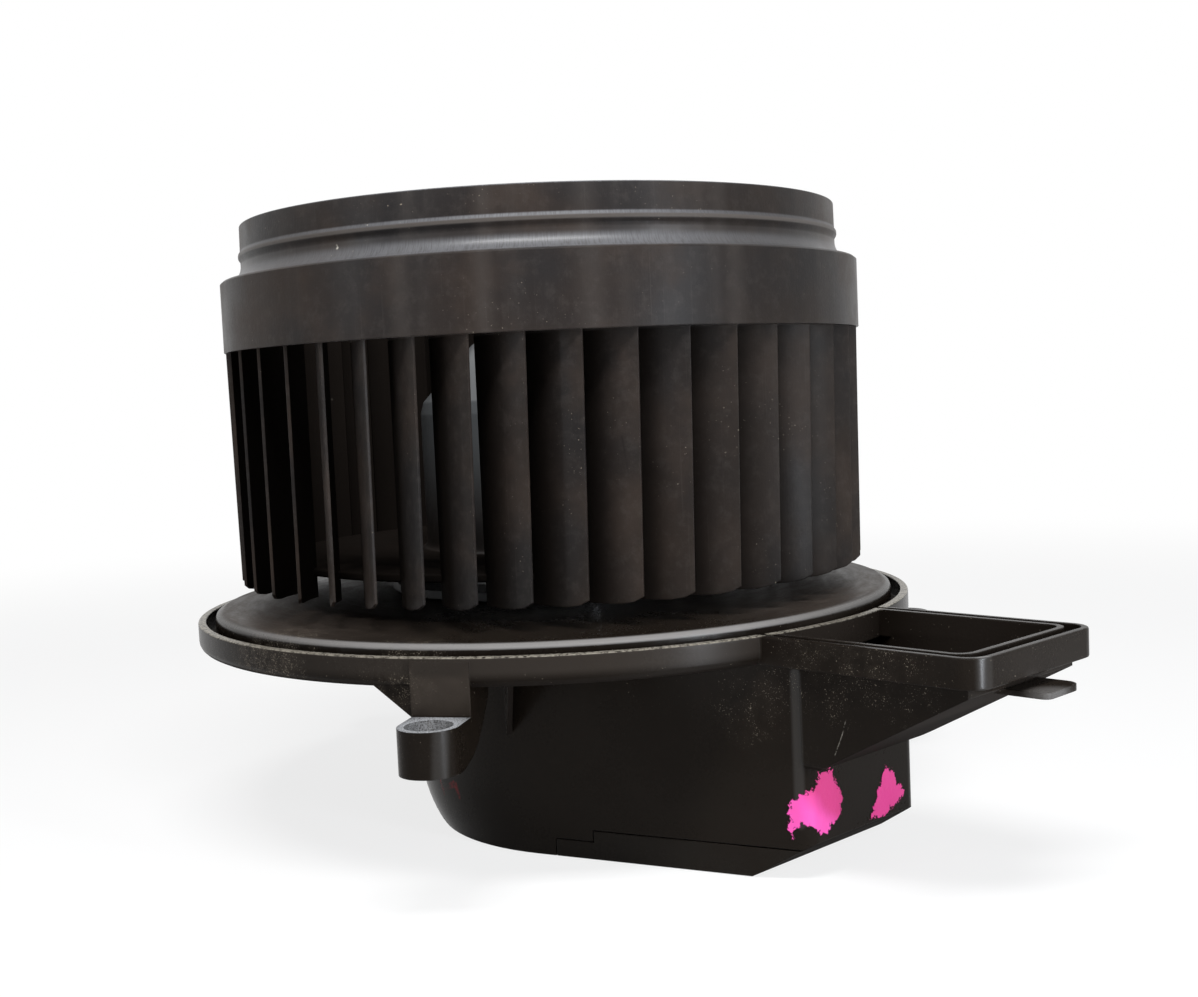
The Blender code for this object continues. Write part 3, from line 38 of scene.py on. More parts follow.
# Wheel
TIP_RADIUS = 0.0775
BLADE_COUNT = 42
BLADE_ARC_RADIUS = 0.0275
BLADE_TIP_ANGLE = radians(60.0)
BLADE_ROOT_ANGLE = radians(25.0)
BLADE_THICKNESS = 0.0012
BLADE_TIP_THICKNESS = 0.0007
BLADE_DRAFT = 0.0006
BLADE_CORNER_RUN = 0.0032
BLADE_CORNER_RISE = 0.0016
BLADE_PHASE = radians(-36.6)
BLADE_BOTTOM = 0.0578
BAND_BOTTOM = 0.1143
BAND_TOP = 0.1307
BAND_RADIUS = 0.0779
BAND_WALL = 0.0015
COLLAR_RADIUS = 0.0728
COLLAR_WALL = 0.0013
COLLAR_TOP = 0.1442
BEAD_PROUD = 0.0005
BEAD_LINE = 0.1371
BEAD_MIDDLE = 0.1370
COVE_TOP = 0.1349
COVE_ARC = 0.0045
COVE_SWEEP = radians(60.0)
HUB_RADIUS = 0.0315
HUB_TOP = 0.1173
HUB_DISC_TOP = 0.0645
HUB_DISC_RADIUS = 0.0672
HUB_WALL = 0.0018
HUB_BORE = 0.0051
HUB_SOCKET = 0.0089
HUB_SOCKET_DEPTH = 0.0154
HUB_CROWN = 0.0130
HUB_SHOULDER = 0.0180
HUB_SHOULDER_DROP = 0.0031
HUB_FLANK_SLOPE = radians(48.0)

# Flange
FLANGE_TOP = 0.0506
DISC_TOP = 0.0544
LIP_RADIUS = 0.0878
LIP_WALL = 0.0018
LIP_BOTTOM = 0.0444
GROOVE_WIDTH = 0.0023
GROOVE_FLOOR = 0.0464
RIM_INNER = LIP_RADIUS - LIP_WALL - GROOVE_WIDTH
DISC_UNDER = 0.0516
DISC_BORE = 0.0318
TUBE_OUTER = 0.0338
TUBE_LIP = 0.0024
TUBE_BOTTOM = 0.0378
TUBE_SEAT = 0.0398
CHANNEL_WALL = 0.0019
SHELL_TOP = 0.0520
RIM_STAND = 0.0016

# Motor chamber
CHAMBER_WALL = 0.0020
CHAMBER_FLOOR = 0.0022
CHAMBER_END = 0.0933
CHAMBER_END_HALF = 0.0188
CHAMBER_FLARE = radians(19.66)
CHAMBER_SIDE_RADIUS = 0.0550
CHAMBER_BACK_RADIUS = 0.0348
CHAMBER_CORNER = 0.0038
FILLET_HEIGHT = 0.0120
FILLET_BACK_RUN = 0.0100
FILLET_SIDE_RUN = 0.0110
WALL_DISTANCE = CHAMBER_END * sin(CHAMBER_FLARE) + CHAMBER_END_HALF * cos(CHAMBER_FLARE)

# Cooling-air duct
DUCT_LIP_END = 0.1353
DUCT_LIP_HALF = 0.0226
DUCT_LIP_WALL = 0.0014
DUCT_LIP_BOTTOM = 0.0446
DUCT_LIP_CORNER = 0.0052
DUCT_GROOVE_SIDE = 0.0016
DUCT_GROOVE_END = 0.0028
DUCT_WALL = 0.0013
DUCT_MOUTH_FLOOR = 0.0022
DUCT_FLOOR_DROP = 0.0211
DUCT_FLOOR_KNEE = 0.0958
DUCT_FLOOR_PLATE = 0.0017
DUCT_FLOOR_CORNER = 0.0016
DUCT_MOUTH_CORNER = 0.0030
DUCT_COLLAR_CORNER = 0.0042
DUCT_LIP_EDGE = 0.00035
DUCT_HALF = DUCT_LIP_HALF - DUCT_LIP_WALL - DUCT_GROOVE_SIDE
DUCT_END = DUCT_LIP_END - DUCT_LIP_WALL - DUCT_GROOVE_END

# Lower cover
COVER_START = 0.0380
COVER_STEP = 0.0466
COVER_HEIGHT = 0.0065
COVER_STEP_HEIGHT = 0.0040
COVER_WALL = 0.0018
COVER_TONGUE = 0.0014
COVER_TONGUE_RISE = 0.0034
COVER_SLANT_RUN = 0.0122
COVER_SLANT_RISE = 0.0075
SEAT_GAP = 0.0003

# Screw lugs, ribs, tab and screw bosses
LUG_ANGLES = (radians(-58.4), radians(58.4), radians(180.0))
LUG_WIDTH = 0.0124
LUG_PROUD = 0.0133
LUG_LEDGE = 0.0388
LUG_THICKNESS = 0.0092
LUG_HOLE_RADIUS = 0.0027
LUG_SINK_RADIUS = 0.0048
LUG_SINK_DEPTH = 0.0022
LUG_FACE = LIP_RADIUS + 0.0003
LUG_FOOT = LUG_LEDGE - LUG_THICKNESS
GUSSET_REACH = 0.0092
GUSSET_DROP = 0.0078
GUSSET_HALF = 0.0008
RIB_THICKNESS = 0.0012
RIB_REACH = 0.0200
RIB_DROP = 0.0280
RIB_POINTS = ((0.0270, -0.0410, radians(-38.0)), (0.0000, -0.0400, radians(-90.0)))
TAB_REACH = 0.0090
TAB_HALF = 0.0065
TAB_THICKNESS = 0.0012
TAB_ROOT = 0.0035
BOSS_ANGLES = (radians(90.0), radians(210.0), radians(330.0))
BOSS_CIRCLE = 0.0366
BOSS_RADIUS = 0.0034
BOSS_LENGTH = 0.0075
SCREW_BORE = 0.0016
SCREW_BOTTOM = 0.0470
PLUG_ALONG = 0.0480
PLUG_HEIGHT = 0.0228
PLUG_HALF_WIDTH = 0.0088
PLUG_HALF_HEIGHT = 0.0058

# Steps of round shapes
WHEEL_STEPS = 252
HUB_STEPS = 168
RIM_STEPS = 192
HOLE_STEPS = 40
SIDE_STEPS = 24
BACK_STEPS = 12
FILLET_STEPS = 10

# How deep a solid sinks into the one it is joined to
OVERLAP = 0.0006

# How far a cutter reaches past what it cuts, and its half width
CUT_PAST = 0.010
SLANT_PAST = 0.001
SLANT_HALF = 0.050
COVER_CUT_HALF = 0.060

# Corners nearer than the first are at one place, further than the second apart
SAME = 1e-6
DISTINCT = 1e-4

# Edges that stay sharp are bent by more than this
PIECE_SHARP = radians(35.0)
WHEEL_SHARP = radians(32.0)
HOUSING_SHARP = radians(28.0)


# Mesh
def new_object(name, shape, smooth_angle=PIECE_SHARP):
    bmesh.ops.recalc_face_normals(shape, faces=shape.faces)
    mesh = bpy.data.meshes.new(name)
    shape.to_mesh(mesh)
    shape.free()
    item = bpy.data.objects.new(name, mesh)
    bpy.context.scene.collection.objects.link(item)
    mesh.shade_smooth()
    mesh.set_sharp_from_angle(angle=smooth_angle)
    return item


def rounded(corners, steps=6):
    """Outline through corners of (x, y, radius), each radius made with an arc."""
    outline = []
    for index, (x, y, radius) in enumerate(corners):
        here = Vector((x, y))
        before = Vector(corners[index - 1][:2]) - here
        after = Vector(corners[(index + 1) % len(corners)][:2]) - here
        if radius <= 0.0:
            outline.append((x, y))
            continue
        before.normalize()
        after.normalize()
        half = acos(max(-1.0, min(1.0, before.dot(after)))) / 2.0
        centre = here + (before + after).normalized() * (radius / sin(half))
        start = here + before * (radius / tan(half)) - centre
        end = here + after * (radius / tan(half)) - centre
        first = atan2(start.y, start.x)
        sweep = (atan2(end.y, end.x) - first + pi) % (2.0 * pi) - pi
        for step in range(steps + 1):
            angle = first + sweep * step / steps
            outline.append((centre.x + radius * cos(angle), centre.y + radius * sin(angle)))
    return outline


def add_turned(shape, profile, steps):
    """Closed profile of (radius, height) turned about the axis."""
    rings = []
    for index in range(steps):
        angle = 2.0 * pi * index / steps
        rings.append([shape.verts.new((r * cos(angle), r * sin(angle), z)) for r, z in profile])
    count = len(profile)
    for index in range(steps):
        here, after = rings[index], rings[(index + 1) % steps]
        for k in range(count):
            shape.faces.new((here[k], here[(k + 1) % count], after[(k + 1) % count], after[k]))


def add_loft(shape, sections):
    rings = [[shape.verts.new(point) for point in section] for section in sections]
    count = len(rings[0])
    for lower, upper in zip(rings, rings[1:]):
        for index in range(count):
            after = (index + 1) % count
            shape.faces.new((lower[index], lower[after], upper[after], upper[index]))
    shape.faces.new(list(reversed(rings[0])))
    shape.faces.new(rings[-1])


def turned(name, profile, steps):
    shape = bmesh.new()
    add_turned(shape, profile, steps)
    return new_object(name, shape)


def rod(name, radius, bottom, top, steps=32):
    circle = [(radius * cos(2.0 * pi * k / steps), radius * sin(2.0 * pi * k / steps)) for k in range(steps)]
    return loft(name, [[Vector((x, y, z)) for x, y in circle] for z in (bottom, top)])


def pin(name, profile, steps):
    """Turned shape whose profile starts and ends on the axis."""
    shape = bmesh.new()
    top, bottom = (shape.verts.new((0.0, 0.0, profile[k][1])) for k in (0, -1))
    rings = []
    for index in range(steps):
        angle = 2.0 * pi * index / steps
        rings.append([shape.verts.new((r * cos(angle), r * sin(angle), z)) for r, z in profile[1:-1]])
    for index in range(steps):
        here, after = rings[index], rings[(index + 1) % steps]
        shape.faces.new((top, here[0], after[0]))
        shape.faces.new((bottom, after[-1], here[-1]))
        for k in range(len(here) - 1):
            shape.faces.new((here[k], here[k + 1], after[k + 1], after[k]))
    return new_object(name, shape)


def loft(name, sections):
    shape = bmesh.new()
    add_loft(shape, sections)
    return new_object(name, shape)


def prism(name, outline, low, high):
    return loft(name, [[Vector((x, y, z)) for x, y in outline] for z in (low, high)])


def side_prism(name, outline, half):
    """Side view outline of (x, z), grown to both sides along Y."""
    return loft(name, [[Vector((x, y, z)) for x, z in outline] for y in (-half, half)])


def placed(item, angle, spot=(0.0, 0.0, 0.0)):
    item.data.transform(Matrix.Translation(spot) @ Matrix.Rotation(angle, 4, "Z"))
    return item


def combine(item, others, operation):
    """Joins or cuts other solids and throws them away."""
    for other in others:
        step = item.modifiers.new(other.name, "BOOLEAN")
        step.operation = operation
        step.object = other
        step.solver = "EXACT"
    bpy.context.view_layer.update()
    mesh = bpy.data.meshes.new_from_object(item.evaluated_get(bpy.context.evaluated_depsgraph_get()))
    item.modifiers.clear()
    item.data = mesh
    for other in others:
        bpy.data.objects.remove(other, do_unlink=True)
    return item


# Shader maths
class Link:
    """A node's output that takes part in plain arithmetic."""

    def __init__(self, nodes, socket):
        self.nodes = nodes
        self.socket = socket

    def math(self, operation, *others):
        return self.nodes.node("ShaderNodeMath", {"operation": operation}, dict(enumerate((self, *others))))

    def vector_math(self, operation, other, output=0):
        return self.nodes.node("ShaderNodeVectorMath", {"operation": operation}, {0: self, 1: other}, output)

    def __add__(self, other):
        return self.math("ADD", other)

    def __sub__(self, other):
        return self.math("SUBTRACT", other)

    def __mul__(self, other):
        return self.math("MULTIPLY", other)

    def __pow__(self, other):
        return self.math("POWER", other)

    def __rsub__(self, other):
        return self.math("MULTIPLY_ADD", -1.0, other)

    __radd__ = __add__
    __rmul__ = __mul__


class Nodes:
    """Makes and joins the nodes of one tree."""

    def __init__(self, tree):
        self.tree = tree

    def node(self, kind, settings=None, inputs=None, output=0):
        item = self.tree.nodes.new(kind)
        for key, value in (settings or {}).items():
            setattr(item, key, value)
        for key, value in (inputs or {}).items():
            self.feed(item.inputs[key], value)
        return Link(self, item.outputs[output])

    def feed(self, socket, value):
        if isinstance(value, Link):
            self.tree.links.new(value.socket, socket)
        elif socket.type == "RGBA":
            socket.default_value = (*value, 1.0)
        else:
            socket.default_value = value

    def seen_by_eye(self):
        """1 for rays from the camera, off gloss and through glass."""
        names = ("Is Camera Ray", "Is Glossy Ray", "Is Transmission Ray")
        camera_ray, gloss, glass = (self.node("ShaderNodeLightPath", output=name) for name in names)
        return camera_ray.math("MAXIMUM", gloss).math("MAXIMUM", glass)


class Finish(Nodes):
    """A procedural material and the masks that its colours are made with."""

    def __init__(self, name):
        self.material = bpy.data.materials.new(name)
        self.material.use_nodes = True
        super().__init__(self.material.node_tree)
        self.shader = self.tree.nodes["Principled BSDF"]
        self.place = self.node("ShaderNodeTexCoord", output="Object")

    def set(self, **values):
        for key, value in values.items():
            self.feed(self.shader.inputs[key.replace("_", " ")], value)

    def surface(self, shader):
        self.feed(self.tree.nodes["Material Output"].inputs["Surface"], shader)

    def noise(self, scale, detail=2.0, roughness=0.5, place=None):
        inputs = {"Vector": place or self.place, "Scale": scale, "Detail": detail, "Roughness": roughness}
        return self.node("ShaderNodeTexNoise", None, inputs)

    def fade(self, value, start, end):
        """0 before start, 1 after end, smooth between."""
        inputs = {"Value": value, "From Min": start, "From Max": end}
        return self.node("ShaderNodeMapRange", {"interpolation_type": "SMOOTHSTEP"}, inputs)

    def until(self, value, start, end):
        """1 before start, 0 after end, smooth between."""
        return 1.0 - self.fade(value, start, end)

    def band(self, value, rise, fall):
        """0, then 1 from the end of rise to the start of fall, then 0."""
        return self.fade(value, *rise) * self.until(value, *fall)

    def mix(self, share, first, second):
        return self.node("ShaderNodeMix", {"data_type": "RGBA"}, {0: share, 6: first, 7: second}, 2)

    def axis(self, vector, name):
        return self.node("ShaderNodeSeparateXYZ", None, {0: vector}, name)

    def vector(self, x, y, z):
        return self.node("ShaderNodeCombineXYZ", None, {0: x, 1: y, 2: z})

    def near(self, spot, reach):
        """1 at a spot, falling to 0 at its reach."""
        distance = self.place.vector_math("DISTANCE", spot, "Value")
        return self.until(distance, reach * 0.25, reach)

    def scratch(self, start, end, width):
        """1 on a thin line between two spots."""
        line = Vector(end) - Vector(start)
        offset = self.place.vector_math("SUBTRACT", start)
        share = offset.vector_math("DOT_PRODUCT", line / line.length_squared, "Value")
        inside = self.node("ShaderNodeClamp", None, {0: share})
        foot = self.node("ShaderNodeVectorMath", {"operation": "SCALE"}, {0: line, "Scale": inside})
        distance = offset.vector_math("DISTANCE", foot, "Value")
        return self.until(distance, width * 0.4, width)

    def marks(self, lines):
        """1 on each line of (start, end, width)."""
        return sum(self.scratch(*line) for line in lines)

    def facing_up(self):
        return self.axis(self.node("ShaderNodeNewGeometry", output="Normal"), "Z")

    def facing_out(self):
        """Share of the piece's own normal that points away from the axis."""
        normal = self.node("ShaderNodeTexCoord", output="Normal")
        flat = self.vector(self.axis(self.place, "X"), self.axis(self.place, "Y"), 0.0)
        outwards = self.node("ShaderNodeVectorMath", {"operation": "NORMALIZE"}, {0: flat})
        return normal.vector_math("DOT_PRODUCT", outwards, "Value")

    def round_edges(self, radius):
        return self.node("ShaderNodeBevel", {"samples": 6}, {"Radius": radius})

    def bump(self, height, distance, normal=None):
        inputs = {"Height": height, "Distance": distance, "Strength": 1.0}
        if normal:
            inputs["Normal"] = normal
        return self.node("ShaderNodeBump", None, inputs)

    def matt_where(self, mask, colour):
        """Second shader without gloss, for faces that see little of the room."""
        matt = self.node("ShaderNodeBsdfDiffuse", None, {"Color": colour})
        inputs = {0: mask, 1: Link(self, self.shader.outputs[0]), 2: matt}
        self.surface(self.node("ShaderNodeMixShader", None, inputs))

    def around(self):
        """Angle about the axis, radius and height."""
        x, y, z = (self.axis(self.place, name) for name in "XYZ")
        return y.math("ARCTAN2", x), (x * x + y * y) ** 0.5, z


# Colours of the finishes
WHEEL_BROWN = (0.0270, 0.0195, 0.0155)
WHEEL_GREY = (0.0180, 0.0165, 0.0165)
WHEEL_FILM = (0.041, 0.030, 0.024)
WHEEL_WORN_AND_SHEEN = (0.075, 0.066, 0.060)
WHEEL_STAIN = (0.006, 0.005, 0.005)
CAGE_SHADE = (0.008, 0.007, 0.006)
CAGE_DEEP_SHADE = (0.0085, 0.0068, 0.0058)
COVE_DUST_AND_SHEEN = (0.112, 0.112, 0.118)
HUB_PAINTED_LIGHT = (0.085, 0.090, 0.094)
HOUSING_BLACK = (0.0080, 0.0058, 0.0042)
HOUSING_CLOUD = (0.0100, 0.0076, 0.0058)
HOUSING_MATT = (0.012, 0.010, 0.009)
COVER_BLACK = (0.0120, 0.0102, 0.0085)
DISC_DIRT_AND_DUCT_LIGHT = (0.040, 0.032, 0.027)
DUST = (0.115, 0.092, 0.072)
DUST_PALE = (0.42, 0.36, 0.28)
LEDGE_REFLECTION = (0.46, 0.47, 0.49)
STRAP_FILM = (0.040, 0.032, 0.026)
PAINTED_HIGHLIGHT = (0.195, 0.187, 0.181)
LIP_PAINTED_LIGHT = (0.024, 0.0195, 0.016)
LIP_LINE = (0.22, 0.20, 0.165)
CRAYON_RED = (0.14, 0.010, 0.012)
CHIP_WHITE = (0.62, 0.58, 0.50)
PINK_BRIGHT = (0.76, 0.076, 0.37)
PINK_DEEP = (0.56, 0.032, 0.185)
PINK_SHADED = (0.64, 0.034, 0.225)
COPPER_DARK = (0.30, 0.10, 0.035)
COPPER_BRIGHT = (0.62, 0.26, 0.10)
RUBBER_BLACK = (0.014, 0.014, 0.014)
RUBBER_BLOOM = (0.045, 0.043, 0.040)

# Gloss of the two mouldings and of the paint
WHEEL_IOR = 1.165
WHEEL_COAT_ROUGHNESS = 0.32
HOUSING_IOR = 1.136
HOUSING_COAT_ROUGHNESS = 0.28
PAINT_IOR = 1.35

# Depth of the fine relief, and the radius that edges are shaded with
WHEEL_RELIEF = 0.00006
HOUSING_RELIEF = 0.00004
PLASTIC_RELIEF = 0.00004
METAL_RELIEF = 0.00002
WINDING_RELIEF = 0.0002
RUBBER_RELIEF = 0.00006
PAINT_RELIEF = 0.00010
WHEEL_EDGE = 0.00035
HOUSING_EDGE = 0.00045
PLASTIC_EDGE = 0.0003
METAL_EDGE = 0.0002

# Scales of marks that run round the axis, for (angle, radius, height)
TURNING_MARKS = (3.0, 60.0, 900.0)
WIPING_STREAKS = (240.0, 600.0, 22.0)
DUST_SWEEPS = (7.0, 420.0, 0.0)

# Painted sheens down the wheel, each (angle, half width) in radians
SHEENS = ((-0.616, 0.060), (-0.897, 0.045), (-1.12, 0.05), (-0.20, 0.05))
LIT_ANGLE = -0.75
SHADED_SIDE = ((-0.45, -0.10), (0.10, 0.40))

# Where shade starts and ends on the wheel and on the housing
HUB_LIT_HEIGHT = (0.066, 0.098)
BLADE_ROOT_SHADE = (0.0708, 0.0760)
BEHIND_BLADES = (HUB_RADIUS + 0.0020, 0.0500)
HUB_EDGE = (HUB_RADIUS + 0.0005, HUB_RADIUS + 0.0015)
COVE_FOOT = (BAND_TOP - 0.0002, BAND_TOP + 0.0004)
SPECK_HEIGHT = (0.030, 0.046)
DUCT_LIT_HEIGHT = (0.0320, 0.0360)

# Lines on a surface, each (start, end, width)
WHEEL_STAIN_LINES = (((0.0644, -0.0394, 0.0922), (0.0655, -0.0390, 0.0844), 0.0006),)
WHEEL_CHIPS = (
    ((-0.0668, -0.0181, 0.1030), (-0.0660, -0.0187, 0.1022), 0.0004),
    ((0.0751, -0.0172, 0.0990), (0.0751, -0.0174, 0.0974), 0.00022),
    ((0.0769, -0.0053, 0.0866), (0.0769, -0.0053, 0.0838), 0.00025),
    ((0.0769, -0.0055, 0.0796), (0.0769, -0.0055, 0.0790), 0.00035),
    ((0.0148, -0.0718, 0.1346), (0.0150, -0.0717, 0.1340), 0.0006),
    ((0.0146, -0.0743, 0.1318), (0.0148, -0.0743, 0.1322), 0.0006),
    ((0.0229, -0.0690, 0.1378), (0.0230, -0.0690, 0.1372), 0.0004),
)
CRAYON_STROKES = (
    ((0.0014, -0.0403, 0.0115), (0.0030, -0.0404, 0.0086), 0.0010),
    ((0.0084, -0.0422, 0.0128), (0.0101, -0.0420, 0.0095), 0.0010),
    ((0.0027, -0.0404, 0.0100), (0.0084, -0.0422, 0.0121), 0.0011),
)
SCUFFS = (
    ((0.1006, -0.0196, 0.0277), (0.1025, -0.0196, 0.0320), 0.00014),
    ((0.1025, -0.0196, 0.0320), (0.1035, -0.0196, 0.0351), 0.00014),
    ((0.0555, -0.0873, 0.0300), (0.0548, -0.0881, 0.0307), 0.0004),
)
GLOSSY_CORNERS = (
    ((0.0914, -0.0197, 0.0120), (0.0914, -0.0197, 0.0430), 0.0016),
    ((0.1349, -0.0196, 0.0455), (0.1349, -0.0196, 0.0500), 0.0024),
    ((0.0556, -0.0833, 0.0300), (0.0558, -0.0829, 0.0380), 0.0024),
)

# Patches of dust on the housing, each (middle, reach, strength)
DUST_PATCHES = (
    ((0.0380, -0.0760, 0.0470), 0.013, 1.0),
    ((0.0420, -0.0900, 0.0335), 0.011, 1.0),
    ((0.0030, -0.0875, 0.0490), 0.018, 1.1),
    ((0.1000, -0.0226, 0.0452), 0.018, 0.45),
    ((0.1180, -0.0226, 0.0450), 0.016, 0.40),
    ((0.0820, -0.0228, 0.0360), 0.014, 0.40),
)

# Other places on the housing, each (middle, reach)
SHADED_DISC_SPOT = ((0.0560, -0.0520, 0.0530), 0.074)
LEDGE_TOP = ((0.0500, -0.0812, LUG_LEDGE), 0.013)
STRAP_FACE = ((0.0461, -0.0750, 0.0450), 0.0125)
LIT_RIM = ((0.0640, -0.0560, 0.0520), 0.112)
LIT_LIP = ((0.0640, -0.0600, 0.0490), 0.085)
GLOSSY_LIP = ((0.0805, -0.0350, 0.0490), 0.024)
TAB_END = ((0.1400, -0.0040, 0.0416), 0.0070)
DUCT_INSIDE = ((0.1080, 0.0, 0.0400), 0.036)


def wheel_colour(finish, grain, streaks, cloud, film, in_cage, hub):
    """Brown film, painted sheens down the wheel, dust with a painted highlight in the cove, painted shade in
    the cage and on one side, a painted highlight on the bead, painted light on the hub, and pale chips.
    """
    angle, height = finish.around()[::2]
    out_of_cage = 1.0 - in_cage
    colour = finish.mix(cloud, WHEEL_GREY, WHEEL_BROWN)
    # Painted shade: darker colour inside the cage, below the band
    colour = finish.mix(in_cage * 0.28, colour, CAGE_SHADE)
    colour = finish.mix(film, colour, WHEEL_FILM)
    mottle = finish.fade(finish.noise(380.0, 5.0, 0.7), 0.46, 0.72)
    colour = finish.mix(mottle * 0.16, colour, WHEEL_WORN_AND_SHEEN)
    # Painted sheens: pale vertical bands at set angles and random streaks round the axis, kept off the cage
    sheen = sum(finish.until((angle - spot).math("ABSOLUTE"), 0.0, width) for spot, width in SHEENS)
    broad = finish.noise(9.0, 2.0, 0.5, finish.vector(angle, 0.0, 0.0))
    painted_sheens = sheen * 0.22 + finish.fade(broad, 0.45, 0.75) * 0.14
    colour = finish.mix(finish.fade(streaks, 0.60, 0.80) * 0.16 + painted_sheens * out_of_cage, colour, WHEEL_WORN_AND_SHEEN)

    # Dust and a painted highlight in the cove, fading away from the lit angle towards both sides
    cove_dust_and_sheen = finish.fade(finish.facing_up(), 0.06, 0.46)
    cove_dust_and_sheen = cove_dust_and_sheen * finish.fade(height, *COVE_FOOT)
    cove_dust_and_sheen = cove_dust_and_sheen * (0.55 + finish.fade(streaks, 0.30, 0.60) * 0.45)
    cove_dust_and_sheen = cove_dust_and_sheen * (1.0 - finish.fade((angle - LIT_ANGLE).math("ABSOLUTE"), 0.20, 1.05) * 0.62)
    colour = finish.mix(cove_dust_and_sheen, colour, COVE_DUST_AND_SHEEN)

    # Painted shade on one side, a painted highlight along the bead and painted light on the hub, brighter
    # towards the top
    # Painted shade: darker colour over a range of angles round the wheel
    colour = finish.mix(finish.band(angle, *SHADED_SIDE) * 0.30, colour, CAGE_SHADE)
    # Painted highlight: a pale line along the bead, off the cage
    bead = finish.until((height - BEAD_LINE).math("ABSOLUTE"), 0.0002, 0.0006)
    colour = finish.mix(bead * out_of_cage, colour, WHEEL_WORN_AND_SHEEN)
    # Painted light: the hub is paler grey, more so towards its top
    colour = finish.mix(hub * finish.fade(height, *HUB_LIT_HEIGHT), colour, HUB_PAINTED_LIGHT)

    # Specks, a stain and chips
    specks = finish.fade(finish.noise(2400.0, 1.0, 0.4), 0.755, 0.785)
    specks = specks * finish.fade(finish.noise(60.0), 0.46, 0.66)
    colour = finish.mix(specks * 0.45, colour, DUST_PALE)
    colour = finish.mix(finish.marks(WHEEL_STAIN_LINES) * 0.8, colour, WHEEL_STAIN)
    return finish.mix(finish.marks(WHEEL_CHIPS) * finish.fade(grain, 0.40, 0.52), colour, CHIP_WHITE)


def wheel_plastic():
    """Dark glass-filled plastic, matt and dark where the wheel shades itself."""
    finish = Finish("wheel_plastic")
    angle, radius, height = finish.around()
    around = finish.vector(angle, radius, height)
    grain = finish.noise(1500.0, 3.0, 0.6)
    rings = finish.noise(1.0, 2.0, 0.5, around.vector_math("MULTIPLY", TURNING_MARKS))
    streaks = finish.noise(1.0, 3.0, 0.6, around.vector_math("MULTIPLY", WIPING_STREAKS))
    cloud = finish.fade(finish.noise(26.0, 3.0, 0.55), 0.30, 0.72)
    film = finish.fade(finish.noise(55.0, 4.0, 0.6), 0.42, 0.70) * 0.5
    in_cage = finish.until(height, BAND_BOTTOM - 0.0004, BAND_BOTTOM)
    hub = finish.until(radius, *HUB_EDGE)
    cove = finish.band(height, (BAND_TOP - 0.0002, BAND_TOP + 0.0008), (COVE_TOP, COVE_TOP + 0.0006))
    relief = grain * 0.5 + rings * 0.3 + streaks * 0.2
    normal = finish.bump(relief, WHEEL_RELIEF, finish.round_edges(WHEEL_EDGE))
    finish.set(Base_Color=wheel_colour(finish, grain, streaks, cloud, film, in_cage, hub), Normal=normal)
    finish.set(Roughness=0.27 + grain * 0.10 + cloud * 0.06 + film * 0.2, IOR=WHEEL_IOR)
    finish.set(Coat_Weight=cove * 0.28 + hub * 0.6, Coat_Roughness=WHEEL_COAT_ROUGHNESS)

    # Painted shade: a dark matt shader on faces turned towards the axis, on the cage floor and at the blade
    # roots
    inwards = finish.until(finish.facing_out(), -0.35, -0.05)
    inwards = finish.until(height, BAND_TOP - BAND_WALL, BAND_TOP) * inwards
    floor_shade = (1.0 - hub) * finish.fade(finish.facing_up(), 0.8, 0.95) * in_cage
    painted_root_shade = finish.until(radius, *BLADE_ROOT_SHADE) * finish.fade(radius, *BEHIND_BLADES)
    painted_root_shade = in_cage * painted_root_shade * 0.95
    finish.matt_where(inwards.math("MAXIMUM", floor_shade).math("MAXIMUM", painted_root_shade) * 0.95, CAGE_DEEP_SHADE)
    return finish.material


def moulding_edges(finish, colour, grain, facing):
    """Painted highlight on the disc's rim, painted light on the lip's upper face and a pale grainy line along
    the edge of its groove.
    """
    radius, height = finish.around()[1:]
    # Painted highlight along the disc's rounded rim, strongest near the lit spot
    rim_fall = (RIM_INNER - 0.0001, RIM_INNER + 0.0002)
    rim = finish.band(radius, (RIM_INNER - 0.0018, RIM_INNER - 0.0011), rim_fall)
    rim = rim * finish.fade(facing, 0.10, 0.35) * finish.fade(height, FLANGE_TOP, FLANGE_TOP + 0.0006)
    colour = finish.mix(rim * finish.near(*LIT_RIM), colour, PAINTED_HIGHLIGHT)
    # Painted light: the upper part of the lip's face is paler near the lit spot
    lip_fall = (LIP_RADIUS + 0.0004, LIP_RADIUS + 0.0006)
    lip = finish.band(radius, (LIP_RADIUS - 0.0004, LIP_RADIUS - 0.0001), lip_fall)
    lip = lip * finish.fade(height, LIP_BOTTOM + 0.0014, LIP_BOTTOM + 0.0034)
    colour = finish.mix(lip * finish.near(*LIT_LIP), colour, LIP_PAINTED_LIGHT)
    groove_wall = LIP_RADIUS - LIP_WALL
    edge = finish.band(radius, (groove_wall - 0.0001, groove_wall + 0.0001), (LIP_RADIUS, LIP_RADIUS + 0.001))
    edge = edge * finish.fade(height, FLANGE_TOP - 0.0003, FLANGE_TOP - 0.0001)
    return finish.mix(edge * finish.fade(grain, 0.30, 0.60), colour, LIP_LINE)


